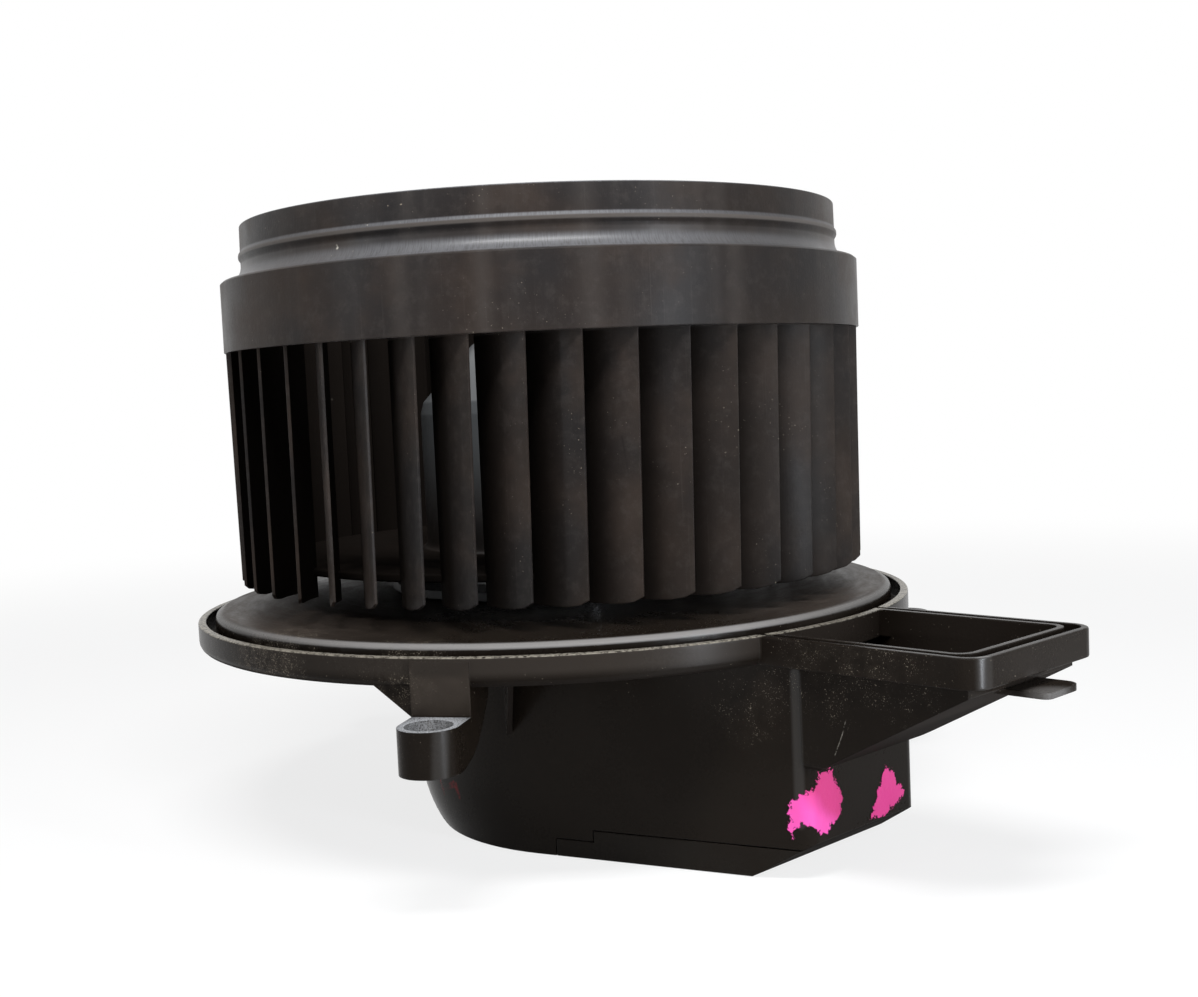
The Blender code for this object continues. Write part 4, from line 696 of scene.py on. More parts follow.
def housing_plastic(name, base=HOUSING_BLACK):
    """Glossy black moulding: dusty disc with painted shade on its near side, fine pale specks round the lug
    and the duct, painted highlights and light on the rim, lip, ledge, tab and in the duct, matt underside.
    """
    finish = Finish(name)
    angle, radius, height = finish.around()
    facing = finish.facing_up()
    up = finish.fade(facing, 0.55, 0.95)
    grain = finish.noise(1300.0, 3.0, 0.6)
    fine = finish.noise(3400.0, 3.0, 0.6)
    broad = finish.noise(330.0, 3.0, 0.6)
    cloud = finish.fade(finish.noise(34.0, 3.0, 0.55), 0.35, 0.70)
    colour = finish.mix(cloud, base, HOUSING_CLOUD)

    # Dust on the disc, with less of it on the near side as painted shade
    around = finish.vector(angle, radius, height)
    sweeps = finish.noise(1.0, 4.0, 0.6, around.vector_math("MULTIPLY", DUST_SWEEPS))
    dust_with_painted_shade = up * finish.until(radius, RIM_INNER - 0.0022, RIM_INNER - 0.0006)
    dust_with_painted_shade = dust_with_painted_shade * (0.45 + finish.fade(sweeps, 0.30, 0.75) * 0.55) * (1.0 - finish.near(*SHADED_DISC_SPOT))
    dust_with_painted_shade = dust_with_painted_shade * (0.35 + grain * 1.3)
    colour = finish.mix(dust_with_painted_shade, colour, DISC_DIRT_AND_DUCT_LIGHT)

    # Pale crust and haze in patches, a painted reflection on the ledge, and loose specks
    patches = sum(finish.near(spot, reach) * strength for spot, reach, strength in DUST_PATCHES)
    crust = finish.fade(fine * 0.75 + broad * 0.25 + patches * 0.066, 0.640, 0.690)
    crust = crust * finish.fade(patches, 0.05, 0.5)
    colour = finish.mix(crust * 0.55, colour, DUST_PALE)
    haze = finish.fade(patches, 0.1, 1.0) * finish.fade(broad, 0.30, 0.65) * 0.13
    colour = finish.mix(haze, colour, DUST)
    # Painted reflection: a pale bluish top on the lug's ledge, broken by fine grain
    ledge = up * finish.near(*LEDGE_TOP) * finish.until(height, LUG_LEDGE, LUG_LEDGE + 0.001)
    colour = finish.mix(ledge * finish.fade(fine, 0.30, 0.60), colour, LEDGE_REFLECTION)
    specks = finish.fade(finish.noise(2200.0, 1.0, 0.4), 0.765, 0.790) * finish.fade(height, *SPECK_HEIGHT)
    colour = finish.mix(specks * 0.4, colour, DUST_PALE)

    # Dust film on the strap; painted highlights on the rim and the tab; painted light on the lip and inside
    # the duct
    strap = finish.near(*STRAP_FACE) * finish.fade(radius, LIP_RADIUS, LIP_RADIUS + 0.0002)
    strap = strap * finish.fade(height, LUG_LEDGE, LUG_LEDGE + 0.0006)
    colour = finish.mix(strap * (0.6 + broad * 0.4), colour, STRAP_FILM)
    colour = moulding_edges(finish, colour, grain, facing)
    # Painted highlight on the end of the clip tab
    colour = finish.mix(finish.near(*TAB_END) * 0.45, colour, PAINTED_HIGHLIGHT)
    # Painted light: paler colour inside the duct, above its lit height
    aside = finish.axis(finish.place, "Y").math("ABSOLUTE")
    duct_wall = DUCT_HALF - DUCT_WALL
    duct_painted_light = finish.near(*DUCT_INSIDE) * finish.fade(height, *DUCT_LIT_HEIGHT)
    duct_painted_light = duct_painted_light * finish.until(aside, duct_wall + 0.0002, duct_wall + 0.0005)
    colour = finish.mix(duct_painted_light * 0.55, colour, DISC_DIRT_AND_DUCT_LIGHT)

    # Crayon strokes and scuffs
    crayon = finish.marks(CRAYON_STROKES) * finish.fade(broad, 0.38, 0.56)
    colour = finish.mix(crayon * 0.8, colour, CRAYON_RED)
    scuffs = finish.marks(SCUFFS) * finish.fade(grain, 0.46, 0.58)
    colour = finish.mix(scuffs * 0.20, colour, CHIP_WHITE)

    gloss = finish.marks(GLOSSY_CORNERS) * 0.58 + finish.near(*GLOSSY_LIP) * 0.13
    under = finish.until(facing, -0.80, -0.25)
    roughness = 0.20 + grain * 0.08 + cloud * 0.06 + dust_with_painted_shade * 0.22 + crust * 0.4 + haze * 0.3 + under * 0.45
    normal = finish.bump(grain * 0.6 + crust * 1.5, HOUSING_RELIEF, finish.round_edges(HOUSING_EDGE))
    finish.set(Base_Color=colour, Roughness=roughness, Normal=normal, IOR=HOUSING_IOR)
    finish.set(Coat_Weight=gloss.math("MINIMUM", 1.0), Coat_Roughness=HOUSING_COAT_ROUGHNESS)
    finish.matt_where(finish.until(facing, -0.75, -0.40) * 0.6, HOUSING_MATT)
    return finish.material


def plain_plastic(name, colour, roughness):
    finish = Finish(name)
    grain = finish.noise(1600.0, 3.0, 0.6)
    cloud = finish.noise(60.0, 3.0, 0.5)
    shade = finish.mix(finish.fade(cloud, 0.3, 0.7), colour, [c * 1.35 for c in colour])
    normal = finish.bump(grain, PLASTIC_RELIEF, finish.round_edges(PLASTIC_EDGE))
    finish.set(Base_Color=shade, Roughness=grain * 0.12 + roughness, Normal=normal)
    return finish.material


def metal(name, colour, roughness, marks=(4.0, 500.0, 900.0)):
    """Metal with turning or rolling marks that run round the part."""
    finish = Finish(name)
    around = finish.vector(*finish.around())
    lines = finish.noise(1.0, 3.0, 0.6, around.vector_math("MULTIPLY", marks))
    tarnish = finish.fade(finish.noise(140.0, 4.0, 0.6), 0.40, 0.75)
    shade = finish.mix(tarnish * 0.5, colour, [c * 0.55 for c in colour])
    normal = finish.bump(lines, METAL_RELIEF, finish.round_edges(METAL_EDGE))
    finish.set(Base_Color=shade, Roughness=lines * 0.15 + tarnish * 0.15 + roughness, Normal=normal)
    finish.set(Metallic=1.0)
    return finish.material


def wound_copper():
    finish = Finish("winding_copper")
    wave = finish.node("ShaderNodeTexWave", {"wave_type": "BANDS", "bands_direction": "Z"},
                       {"Vector": finish.place, "Scale": 700.0, "Distortion": 1.5})
    shade = finish.mix(wave, COPPER_DARK, COPPER_BRIGHT)
    finish.set(Base_Color=shade, Metallic=0.8, Roughness=0.35, Normal=finish.bump(wave, WINDING_RELIEF))
    return finish.material


def rubber(name):
    finish = Finish(name)
    grain = finish.noise(2200.0, 4.0, 0.7)
    bloom = finish.fade(finish.noise(200.0, 3.0, 0.6), 0.45, 0.75)
    shade = finish.mix(bloom * 0.5, RUBBER_BLACK, RUBBER_BLOOM)
    finish.set(Base_Color=shade, Roughness=0.72 + bloom * 0.15, Normal=finish.bump(grain, RUBBER_RELIEF))
    return finish.material


def marker_paint(name, deep, bright):
    """Brushed-on paint with a ragged edge; the mesh carries the distance to the edge in millimetres."""
    finish = Finish(name)
    inside = finish.node("ShaderNodeAttribute", {"attribute_name": "edge_distance"}, output="Fac")
    ragged = finish.noise(620.0, 5.0, 0.75)
    broad = finish.noise(120.0, 2.0, 0.5)
    mask = finish.fade(inside + (ragged - 0.5) * 5.5, 0.1, 0.25)
    lean = finish.axis(finish.place, "Z") + finish.axis(finish.place, "Y") * 0.8
    shade = finish.mix(finish.fade(lean + (broad - 0.5) * 0.010, 0.0065, -0.0005), deep, bright)
    finish.set(Base_Color=shade, Roughness=0.42, Alpha=mask, Normal=finish.bump(ragged, PAINT_RELIEF))
    finish.set(IOR=PAINT_IOR)
    return finish.material


# Wheel
def blade_section(tip_radius, height, steps=14):
    """Curved plan of a blade that thins out to a square-cut tip."""
    centre_x = TIP_RADIUS - BLADE_ARC_RADIUS * sin(BLADE_TIP_ANGLE)
    centre_y = BLADE_ARC_RADIUS * cos(BLADE_TIP_ANGLE)
    reach = hypot(centre_x, centre_y)
    lean = atan2(centre_y, centre_x)
    outer = BLADE_ARC_RADIUS + BLADE_TIP_THICKNESS / 2.0
    tip_angle = asin((tip_radius ** 2 - reach ** 2 - outer ** 2) / (2.0 * reach * outer)) + lean
    path = []
    for side in (1.0, -1.0):
        face = []
        for k in range(steps + 1):
            share = k / steps
            thickness = BLADE_THICKNESS + (BLADE_TIP_THICKNESS - BLADE_THICKNESS) * share
            angle = BLADE_ROOT_ANGLE + (tip_angle - BLADE_ROOT_ANGLE) * share
            face.append((angle, BLADE_ARC_RADIUS + side * thickness / 2.0))
        path += face if not path else reversed(face)
    return [Vector((centre_x + r * sin(a), centre_y - r * cos(a), height)) for a, r in path]


def add_blades(shape):
    levels = [
        (TIP_RADIUS, BAND_TOP - BAND_WALL * 0.5),
        (TIP_RADIUS, BAND_BOTTOM),
        (TIP_RADIUS - BLADE_DRAFT * 0.5, (BAND_BOTTOM + BLADE_BOTTOM) / 2.0),
        (TIP_RADIUS - BLADE_DRAFT, BLADE_BOTTOM + BLADE_CORNER_RISE),
        (TIP_RADIUS - BLADE_DRAFT - BLADE_CORNER_RUN * 0.35, BLADE_BOTTOM + BLADE_CORNER_RISE * 0.35),
        (TIP_RADIUS - BLADE_DRAFT - BLADE_CORNER_RUN, BLADE_BOTTOM),
    ]
    sections = [blade_section(radius, height) for radius, height in levels]
    for index in range(BLADE_COUNT):
        turn = Matrix.Rotation(BLADE_PHASE + 2.0 * pi * index / BLADE_COUNT, 3, "Z")
        add_loft(shape, [[turn @ point for point in section] for section in sections])


def add_collar(shape):
    inner = COLLAR_RADIUS - COLLAR_WALL
    bead = COLLAR_RADIUS + BEAD_PROUD
    band_inner = BAND_RADIUS - BAND_WALL
    cove = []
    for step in range(11):
        angle = COVE_SWEEP * step / 10
        cove.append((COLLAR_RADIUS + COVE_ARC * (1.0 - cos(angle)), COVE_TOP - COVE_ARC * sin(angle), 0.0))
    profile = rounded([
        (inner, COLLAR_TOP, 0.0003),
        (COLLAR_RADIUS - 0.0001, COLLAR_TOP, 0.0003),
        (COLLAR_RADIUS, BEAD_MIDDLE + 0.0012, 0.0010),
        (bead, BEAD_MIDDLE + 0.0004, 0.0008),
        (bead, BEAD_MIDDLE - 0.0004, 0.0008),
        (COLLAR_RADIUS, BEAD_MIDDLE - 0.0012, 0.0010),
        *cove,
        (BAND_RADIUS - 0.0006, BAND_TOP + 0.0002, 0.0),
        (BAND_RADIUS, BAND_TOP - 0.0003, 0.0),
        (BAND_RADIUS, BAND_BOTTOM, 0.0002),
        (band_inner, BAND_BOTTOM, 0.0002),
        (band_inner, BAND_TOP - BAND_WALL, 0.0004),
        (inner + 0.0017, BAND_TOP - BAND_WALL, 0.0010),
        (inner, BEAD_MIDDLE, 0.0020),
    ], 5)
    add_turned(shape, profile, WHEEL_STEPS)


def add_hub(shape):
    shoulder = HUB_TOP - HUB_SHOULDER_DROP
    flank_end = shoulder - (HUB_RADIUS - HUB_SHOULDER - 0.0012) * tan(HUB_FLANK_SLOPE)
    inner = HUB_RADIUS - HUB_WALL
    profile = rounded([
        (HUB_BORE, HUB_TOP, 0.0003),
        (HUB_CROWN, HUB_TOP, 0.0030),
        (HUB_SHOULDER, shoulder, 0.0040),
        (HUB_RADIUS - 0.0008, flank_end, 0.0016),
        (HUB_RADIUS, flank_end - 0.0030, 0.0030),
        (HUB_RADIUS, HUB_DISC_TOP, 0.0016),
        (HUB_DISC_RADIUS, HUB_DISC_TOP, 0.0005),
        (HUB_DISC_RADIUS, HUB_DISC_TOP - HUB_WALL, 0.0005),
        (inner, HUB_DISC_TOP - HUB_WALL, 0.0),
        (inner, flank_end - 0.0045, 0.0),
        (HUB_SHOULDER - 0.0012, shoulder - 0.0020, 0.0),
        (HUB_SOCKET, HUB_TOP - HUB_WALL, 0.0),
        (HUB_SOCKET, HUB_TOP - HUB_SOCKET_DEPTH, 0.0),
        (HUB_BORE, HUB_TOP - HUB_SOCKET_DEPTH, 0.0),
    ], 6)
    add_turned(shape, profile, HUB_STEPS)


def wheel():
    shape = bmesh.new()
    add_collar(shape)
    add_blades(shape)
    add_hub(shape)
    item = new_object("impeller_moulding", shape, WHEEL_SHARP)
    item.data.materials.append(wheel_plastic())
    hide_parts("impeller")
    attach(item, "rotor")
    return item


# Housing
def turned_ring(name, inner, outer, bottom, top):
    return turned(name, [(inner, top), (outer, top), (outer, bottom), (inner, bottom)], RIM_STEPS)


def flange():
    rim_top = FLANGE_TOP + RIM_STAND
    profile = rounded([
        (DISC_BORE, DISC_TOP, 0.0004),
        (0.0600, DISC_TOP - 0.0004, 0.0),
        (RIM_INNER - 0.0020, rim_top + 0.0005, 0.0010),
        (RIM_INNER - 0.0003, rim_top - 0.0003, 0.0006),
        (RIM_INNER + 0.0002, FLANGE_TOP, 0.0),
        (RIM_INNER + 0.0008, FLANGE_TOP - 0.0006, 0.0),
        (RIM_INNER + 0.0010, FLANGE_TOP, 0.0),
        (LIP_RADIUS, FLANGE_TOP, 0.0004),
        (LIP_RADIUS, LIP_BOTTOM, 0.0019),
        (RIM_INNER - CHANNEL_WALL, LIP_BOTTOM, 0.0004),
        (RIM_INNER - CHANNEL_WALL, DISC_UNDER - 0.0012, 0.0),
        (TUBE_OUTER, DISC_UNDER, 0.0008),
        (TUBE_OUTER, TUBE_BOTTOM, 0.0003),
        (DISC_BORE - TUBE_LIP, TUBE_BOTTOM, 0.0003),
        (DISC_BORE - TUBE_LIP, TUBE_SEAT, 0.0003),
        (DISC_BORE, TUBE_SEAT, 0.0),
    ], 5)
    return turned("housing_moulding", profile, RIM_STEPS)


def chamber_outline(inset=0.0, back_run=0.0, side_run=0.0):
    """Plan of the motor chamber: end wall, flared sides, side arcs and the round back about the axis."""
    side_radius = CHAMBER_SIDE_RADIUS - side_run - inset
    back_radius = CHAMBER_BACK_RADIUS - back_run - inset
    distance = WALL_DISTANCE - inset
    normal = Vector((sin(CHAMBER_FLARE), -cos(CHAMBER_FLARE)))
    along = Vector((cos(CHAMBER_FLARE), sin(CHAMBER_FLARE)))
    lead = distance - side_radius
    centre = normal * lead + along * sqrt((side_radius - back_radius) ** 2 - lead ** 2)
    end = CHAMBER_END - inset
    corner_y = -(distance - end * sin(CHAMBER_FLARE)) / cos(CHAMBER_FLARE)
    corner = max(CHAMBER_CORNER - inset, 0.0008)
    side_start = centre + normal * side_radius
    near = rounded([(end, corner_y, corner), (end, 0.0, 0.0), (*side_start, 0.0)], 10)[:11]
    near = sorted(near, key=lambda point: -point[1])
    start = atan2(normal.y, normal.x)
    join = atan2(-centre.y, -centre.x)
    for k in range(SIDE_STEPS + 1):
        angle = start + (join - start) * k / SIDE_STEPS
        near.append((centre.x + side_radius * cos(angle), centre.y + side_radius * sin(angle)))
    for k in range(1, BACK_STEPS):
        angle = join + (-pi - join) * k / BACK_STEPS
        near.append((back_radius * cos(angle), back_radius * sin(angle)))
    return near + [(-back_radius, 0.0)] + [(x, -y) for x, y in reversed(near)]


def chamber_form(name, inset, bottom, top):
    """Chamber with its lower back edge rounded, as a loft of plans."""
    sections = [[Vector((x, y, top)) for x, y in chamber_outline(inset)]]
    for step in range(FILLET_STEPS + 1):
        angle = (pi / 2.0) * step / FILLET_STEPS
        share = 1.0 - cos(angle)
        plan = chamber_outline(inset, FILLET_BACK_RUN * share, FILLET_SIDE_RUN * share)
        sections.append([Vector((x, y, bottom + FILLET_HEIGHT * (1.0 - sin(angle)))) for x, y in plan])
    return loft(name, sections)


def end_slant(inwards=0.0):
    slope = COVER_SLANT_RISE / COVER_SLANT_RUN
    foot = CHAMBER_END - COVER_SLANT_RUN - inwards
    end = CHAMBER_END + SLANT_PAST
    outline = [(foot - SLANT_PAST / slope, -SLANT_PAST), (end, -SLANT_PAST), (end, (end - foot) * slope)]
    return side_prism("end slant", outline, SLANT_HALF)


def chamber_shell():
    shell = chamber_form("chamber shell", 0.0, 0.0, SHELL_TOP)
    opening = [(COVER_START, COVER_STEP_HEIGHT), (COVER_STEP, COVER_STEP_HEIGHT), (COVER_STEP, COVER_HEIGHT),
               (CHAMBER_END + CUT_PAST, COVER_HEIGHT), (CHAMBER_END + CUT_PAST, -CUT_PAST),
               (COVER_START, -CUT_PAST)]
    cuts = [
        chamber_form("chamber space", CHAMBER_WALL, CHAMBER_FLOOR, DISC_UNDER - 0.0004),
        rod("chamber mouth", DISC_BORE + 0.0014, DISC_UNDER - 0.006, DISC_TOP + CUT_PAST, RIM_STEPS),
        side_prism("cover opening", opening, COVER_CUT_HALF),
        turned_ring("rim room", RIM_INNER - CHANNEL_WALL + 0.0004, LIP_RADIUS + 0.02, LIP_BOTTOM + 0.0011,
                    SHELL_TOP + CUT_PAST),
        end_slant(),
    ]
    return combine(shell, cuts, "DIFFERENCE")


def duct_outline(root, end, half, corner, steps=8):
    """Plan from a straight root to an end with two round corners."""
    return rounded([(root, -half, 0.0), (end, -half, corner), (end, half, corner), (root, half, 0.0)], steps)


def lip_outline(root, inset):
    return duct_outline(root, DUCT_LIP_END - inset, DUCT_LIP_HALF - inset, DUCT_LIP_CORNER - inset, 10)


def floor_line(raise_by):
    """Sloping duct floor in side view, from the far end to the chamber's end wall."""
    low = DUCT_LIP_BOTTOM + raise_by - DUCT_FLOOR_DROP
    return [(DUCT_END, DUCT_LIP_BOTTOM + raise_by - DUCT_MOUTH_FLOOR), (DUCT_FLOOR_KNEE, low),
            (CHAMBER_END - CHAMBER_WALL / 2.0, low)]


def duct_body():
    root = RIM_INNER - 0.0008
    softening = ((0.0, 1.0), (0.3, 0.3), (1.0, 0.0))
    levels = [(DUCT_LIP_BOTTOM + DUCT_LIP_EDGE * up, DUCT_LIP_EDGE * inset) for up, inset in softening]
    for down, inset in reversed(softening):
        levels.append((FLANGE_TOP - DUCT_LIP_EDGE * down, DUCT_LIP_EDGE * inset))
    body = loft("duct lip", [[Vector((x, y, z)) for x, y in lip_outline(root, inset)] for z, inset in levels])
    side = [(root, FLANGE_TOP - 0.0008), (DUCT_END, FLANGE_TOP - 0.0008)] + floor_line(0.0)
    side += [(side[-1][0], LIP_BOTTOM + 0.0007), (root, LIP_BOTTOM + 0.0007)]
    funnel = side_prism("duct funnel", side, DUCT_HALF)
    low = LIP_BOTTOM - DUCT_MOUTH_FLOOR + 0.0001
    soften(funnel, lambda a, b: max(a.z, b.z) < low and abs(a.y - b.y) < SAME and abs(a.x - b.x) > DISTINCT,
           DUCT_FLOOR_CORNER, 6)
    return combine(body, [funnel], "UNION")


def soften(item, chosen, radius, segments):
    """Rounds the edges whose two ends are chosen together."""
    shape = bmesh.new()
    shape.from_mesh(item.data)
    edges = [edge for edge in shape.edges if chosen(*(corner.co for corner in edge.verts))]
    bmesh.ops.bevel(shape, geom=edges, offset=radius, segments=segments, profile=0.5, affect="EDGES")
    shape.to_mesh(item.data)
    shape.free()


def duct_space():
    """Air way down the funnel and through the chamber's end wall."""
    half = DUCT_HALF - DUCT_WALL
    end = DUCT_END - DUCT_WALL
    floor = floor_line(DUCT_FLOOR_PLATE)
    low_end = floor[0][1] + (floor[0][1] - floor[1][1]) / (floor[0][0] - floor[1][0]) * (end - floor[0][0])
    roof = LIP_BOTTOM + 0.0002
    inside = CHAMBER_END - CHAMBER_WALL - 0.004
    radius = LIP_RADIUS - 0.0001
    outline = [(inside, roof), (radius, roof), (LIP_RADIUS + 0.001, roof + 0.002), (end, roof + 0.002),
               (end, low_end), floor[1], (inside, floor[1][1])]
    turn = asin(half / radius)
    arc = [(radius * cos(a), radius * sin(a)) for a in [turn - turn * k / 12.0 for k in range(25)]]
    corners = duct_outline(radius, end, half, DUCT_MOUTH_CORNER)[1:-1]
    upper = prism("duct mouth", arc + corners, LIP_BOTTOM, FLANGE_TOP + CUT_PAST)
    return [side_prism("duct space", outline, half), upper]


def duct_groove():
    outer_half = DUCT_LIP_HALF - DUCT_LIP_WALL
    outer_end = DUCT_LIP_END - DUCT_LIP_WALL
    start = sqrt((LIP_RADIUS - LIP_WALL) ** 2 - outer_half ** 2) - 0.0008
    outer = duct_outline(start, outer_end, outer_half, DUCT_LIP_CORNER - DUCT_LIP_WALL)
    inner = duct_outline(start, DUCT_END, -DUCT_HALF, DUCT_COLLAR_CORNER)
    return prism("duct groove", outer + inner, GROOVE_FLOOR, FLANGE_TOP + CUT_PAST)


def lug(angle):
    """Strap down the lip, round-nosed ledge with its sunk hole, web under the flange and side gusset."""
    face, foot = LUG_FACE, LUG_FOOT
    nose = face + LUG_PROUD
    back = RIM_INNER - CHANNEL_WALL
    inner = back - 0.0054
    web_top = DISC_UNDER - 0.0004
    outline = [(back + 0.0008, web_top), (back + 0.0008, FLANGE_TOP - OVERLAP), (face, FLANGE_TOP - OVERLAP),
               (face, LUG_LEDGE), (nose, LUG_LEDGE), (nose, foot), (face + 0.0050, foot),
               (face - 0.0006, foot + 0.0014), (face - 0.0044, foot + 0.0036), (face - 0.0076, foot + 0.0066),
               (inner, foot + 0.0114), (inner - 0.0006, web_top)]
    half = LUG_WIDTH / 2.0
    body = side_prism("lug", outline, half)
    soften(body, lambda a, b: min(a.x, b.x) > nose - SAME and abs(a.y - b.y) < SAME, half * 0.97, 14)
    gusset = [(-half + 0.001, LIP_BOTTOM + OVERLAP), (-half - GUSSET_REACH, LIP_BOTTOM + OVERLAP),
              (-half + 0.001, LIP_BOTTOM - GUSSET_DROP)]
    side = side_prism("lug gusset", gusset, GUSSET_HALF)
    spot = LIP_RADIUS - LIP_WALL - GROOVE_WIDTH / 2.0
    placed(side, angle + pi / 2.0, (spot * cos(angle), spot * sin(angle), 0.0))
    return placed(body, angle), side


def lug_hole(angle):
    top, bottom = LUG_LEDGE + 0.001, LUG_FOOT - 0.001
    reach = LUG_FACE + LUG_PROUD - LUG_WIDTH / 2.0
    profile = [(0.0, top), (LUG_SINK_RADIUS + 0.001, top), (LUG_HOLE_RADIUS, LUG_LEDGE - LUG_SINK_DEPTH),
               (LUG_HOLE_RADIUS, bottom), (0.0, bottom)]
    return placed(pin("lug hole", profile, HOLE_STEPS), 0.0, (reach * cos(angle), reach * sin(angle), 0.0))


def rib(x, y, angle):
    top = DISC_UNDER + OVERLAP
    outline = [(-0.0012, top), (RIB_REACH, top), (RIB_REACH, LIP_BOTTOM - 0.001), (-0.0012, top - RIB_DROP)]
    return placed(side_prism("rib", outline, RIB_THICKNESS / 2.0), angle, (x, y, 0.0))


def tab():
    top = DUCT_LIP_BOTTOM - DUCT_MOUTH_FLOOR - 0.0002
    root, end = DUCT_END - TAB_ROOT, DUCT_END + TAB_REACH
    outline = rounded([(root, -TAB_HALF, 0.0), (end, -TAB_HALF, 0.0016), (end, TAB_HALF, 0.0032),
                       (root, TAB_HALF, 0.0)], 6)
    return prism("clip tab", outline, top - TAB_THICKNESS, top)


def plug_window():
    normal = Vector((sin(CHAMBER_FLARE), cos(CHAMBER_FLARE)))
    along = Vector((cos(CHAMBER_FLARE), -sin(CHAMBER_FLARE)))
    spot = normal * WALL_DISTANCE + along * PLUG_ALONG
    sides = ((-0.004, -1.0), (0.002, -1.0), (0.002, 1.0), (-0.004, 1.0))
    corners = [(x, side * PLUG_HALF_WIDTH) for x, side in sides]
    window = prism("plug window", corners, -PLUG_HALF_HEIGHT, PLUG_HALF_HEIGHT)
    return placed(window, atan2(normal.y, normal.x), (spot.x, spot.y, PLUG_HEIGHT))


def housing(black):
    item = combine(flange(), [chamber_shell(), duct_body()], "UNION")
    item = combine(item, duct_space(), "DIFFERENCE")
    added = [tab()]
    groove = turned_ring("flange groove", RIM_INNER, LIP_RADIUS - LIP_WALL, GROOVE_FLOOR, DISC_TOP + CUT_PAST)
    holes = [groove, duct_groove(), plug_window()]
    for angle in LUG_ANGLES:
        added.extend(lug(angle))
        holes.append(lug_hole(angle))
    for x, y, angle in RIB_POINTS:
        added += [rib(x, y, angle), rib(x, -y, -angle)]
    for angle in BOSS_ANGLES:
        spot = (BOSS_CIRCLE * cos(angle), BOSS_CIRCLE * sin(angle), 0.0)
        added.append(placed(rod("boss", BOSS_RADIUS, DISC_UNDER - BOSS_LENGTH, DISC_TOP - 0.001), 0.0, spot))
        holes.append(placed(rod("bore", SCREW_BORE, SCREW_BOTTOM - 0.0006, DISC_TOP + 0.001), 0.0, spot))
    item = combine(combine(item, added, "UNION"), holes, "DIFFERENCE")
    return dressed(item, black, "motor_housing")


def cover_plan(inset, first, last):
    """Slice of the chamber's plan between two lengths, set in by a wall."""
    distance = WALL_DISTANCE - inset
    half_first = (distance - first * sin(CHAMBER_FLARE)) / cos(CHAMBER_FLARE)
    half_last = (distance - last * sin(CHAMBER_FLARE)) / cos(CHAMBER_FLARE)
    corner = max(CHAMBER_CORNER - inset, 0.0)
    return rounded([(first, -half_first, 0.0), (last, -half_last, corner), (last, half_last, corner),
                    (first, half_first, 0.0)], 10)


def lower_cover(plastic):
    start = COVER_START + SEAT_GAP
    step = COVER_STEP + SEAT_GAP
    top = COVER_HEIGHT - SEAT_GAP
    cover = prism("cover_moulding", cover_plan(0.0, start, CHAMBER_END), 0.0, top)
    half = COVER_CUT_HALF
    shelf = [(start - CUT_PAST, -half), (step, -half), (step, half), (start - CUT_PAST, half)]
    hollow_plan = cover_plan(COVER_WALL, start + COVER_WALL, CHAMBER_END - COVER_WALL)
    hollow = prism("cover hollow", hollow_plan, COVER_WALL, top + CUT_PAST)
    slope_length = hypot(COVER_SLANT_RUN, COVER_SLANT_RISE)
    combine(hollow, [end_slant(COVER_WALL * slope_length / COVER_SLANT_RISE)], "DIFFERENCE")
    step_top = COVER_STEP_HEIGHT - SEAT_GAP
    combine(cover, [prism("cover shelf", shelf, step_top, top + CUT_PAST), hollow], "DIFFERENCE")
    outer = CHAMBER_WALL + SEAT_GAP
    first, last = step + COVER_WALL, CHAMBER_END - outer
    tongue_plan = cover_plan(outer, first, last)
    room_plan = cover_plan(outer + COVER_TONGUE, first + COVER_TONGUE, last - COVER_TONGUE)
    tongue = prism("cover tongue", tongue_plan, COVER_WALL - OVERLAP, top + COVER_TONGUE_RISE)
    room = prism("tongue hollow", room_plan, 0.0, top + 2.0 * CUT_PAST)
    combine(cover, [combine(tongue, [room], "DIFFERENCE")], "UNION")
    combine(cover, [end_slant()], "DIFFERENCE")
    return dressed(cover, plastic, "lower_cover")


def dressed(item, material, node):
    """Smooth shading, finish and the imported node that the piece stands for."""
    item.data.shade_smooth()
    item.data.set_sharp_from_angle(angle=HOUSING_SHARP)
    flats = item.modifiers.new("flats lead", "WEIGHTED_NORMAL")
    flats.keep_sharp = True
    item.data.materials.clear()
    item.data.materials.append(material)
    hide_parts(node)
    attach(item, "housing")
    return item


# Paint marks. An outline is in metres along the wall, from the middle of the end wall, and in height.
PAINT_LIFT = 0.00012
PAINT_STEP = 0.0004
PAINT_MARGIN = 0.0008
PAINT_FAR_REACH = 0.016
BLOT_NEAR = ((0.0158, 0.0222), (0.0110, 0.0222), (0.0102, 0.0200), (0.0076, 0.0150), (0.0088, 0.0119),
             (0.0140, 0.0087), (0.0176, 0.0108), (0.0197, 0.0120), (0.0212, 0.0115), (0.0217, 0.0092),
             (0.0226, 0.0087), (0.0228, 0.0145), (0.0214, 0.0171), (0.0182, 0.0190), (0.0165, 0.0203))
BLOT_FAR = ((-0.0082, 0.0190), (-0.0118, 0.0151), (-0.0151, 0.0110), (-0.0119, 0.0094), (-0.0050, 0.0074),
            (-0.0020, 0.0084), (-0.0042, 0.0132))


def edge_distance(spot, outline):
    """Distance to the outline's edge, positive inside."""
    best = 1.0
    crossings = 0
    for index, corner in enumerate(outline):
        first, second = Vector(outline[index - 1]), Vector(corner)
        line = second - first
        share = max(0.0, min(1.0, (spot - first).dot(line) / line.length_squared))
        best = min(best, (spot - first - line * share).length)
        if (first.y > spot.y) != (second.y > spot.y):
            crossings += spot.x < first.x + (spot.y - first.y) * line.x / line.y
    return best if crossings % 2 else -best


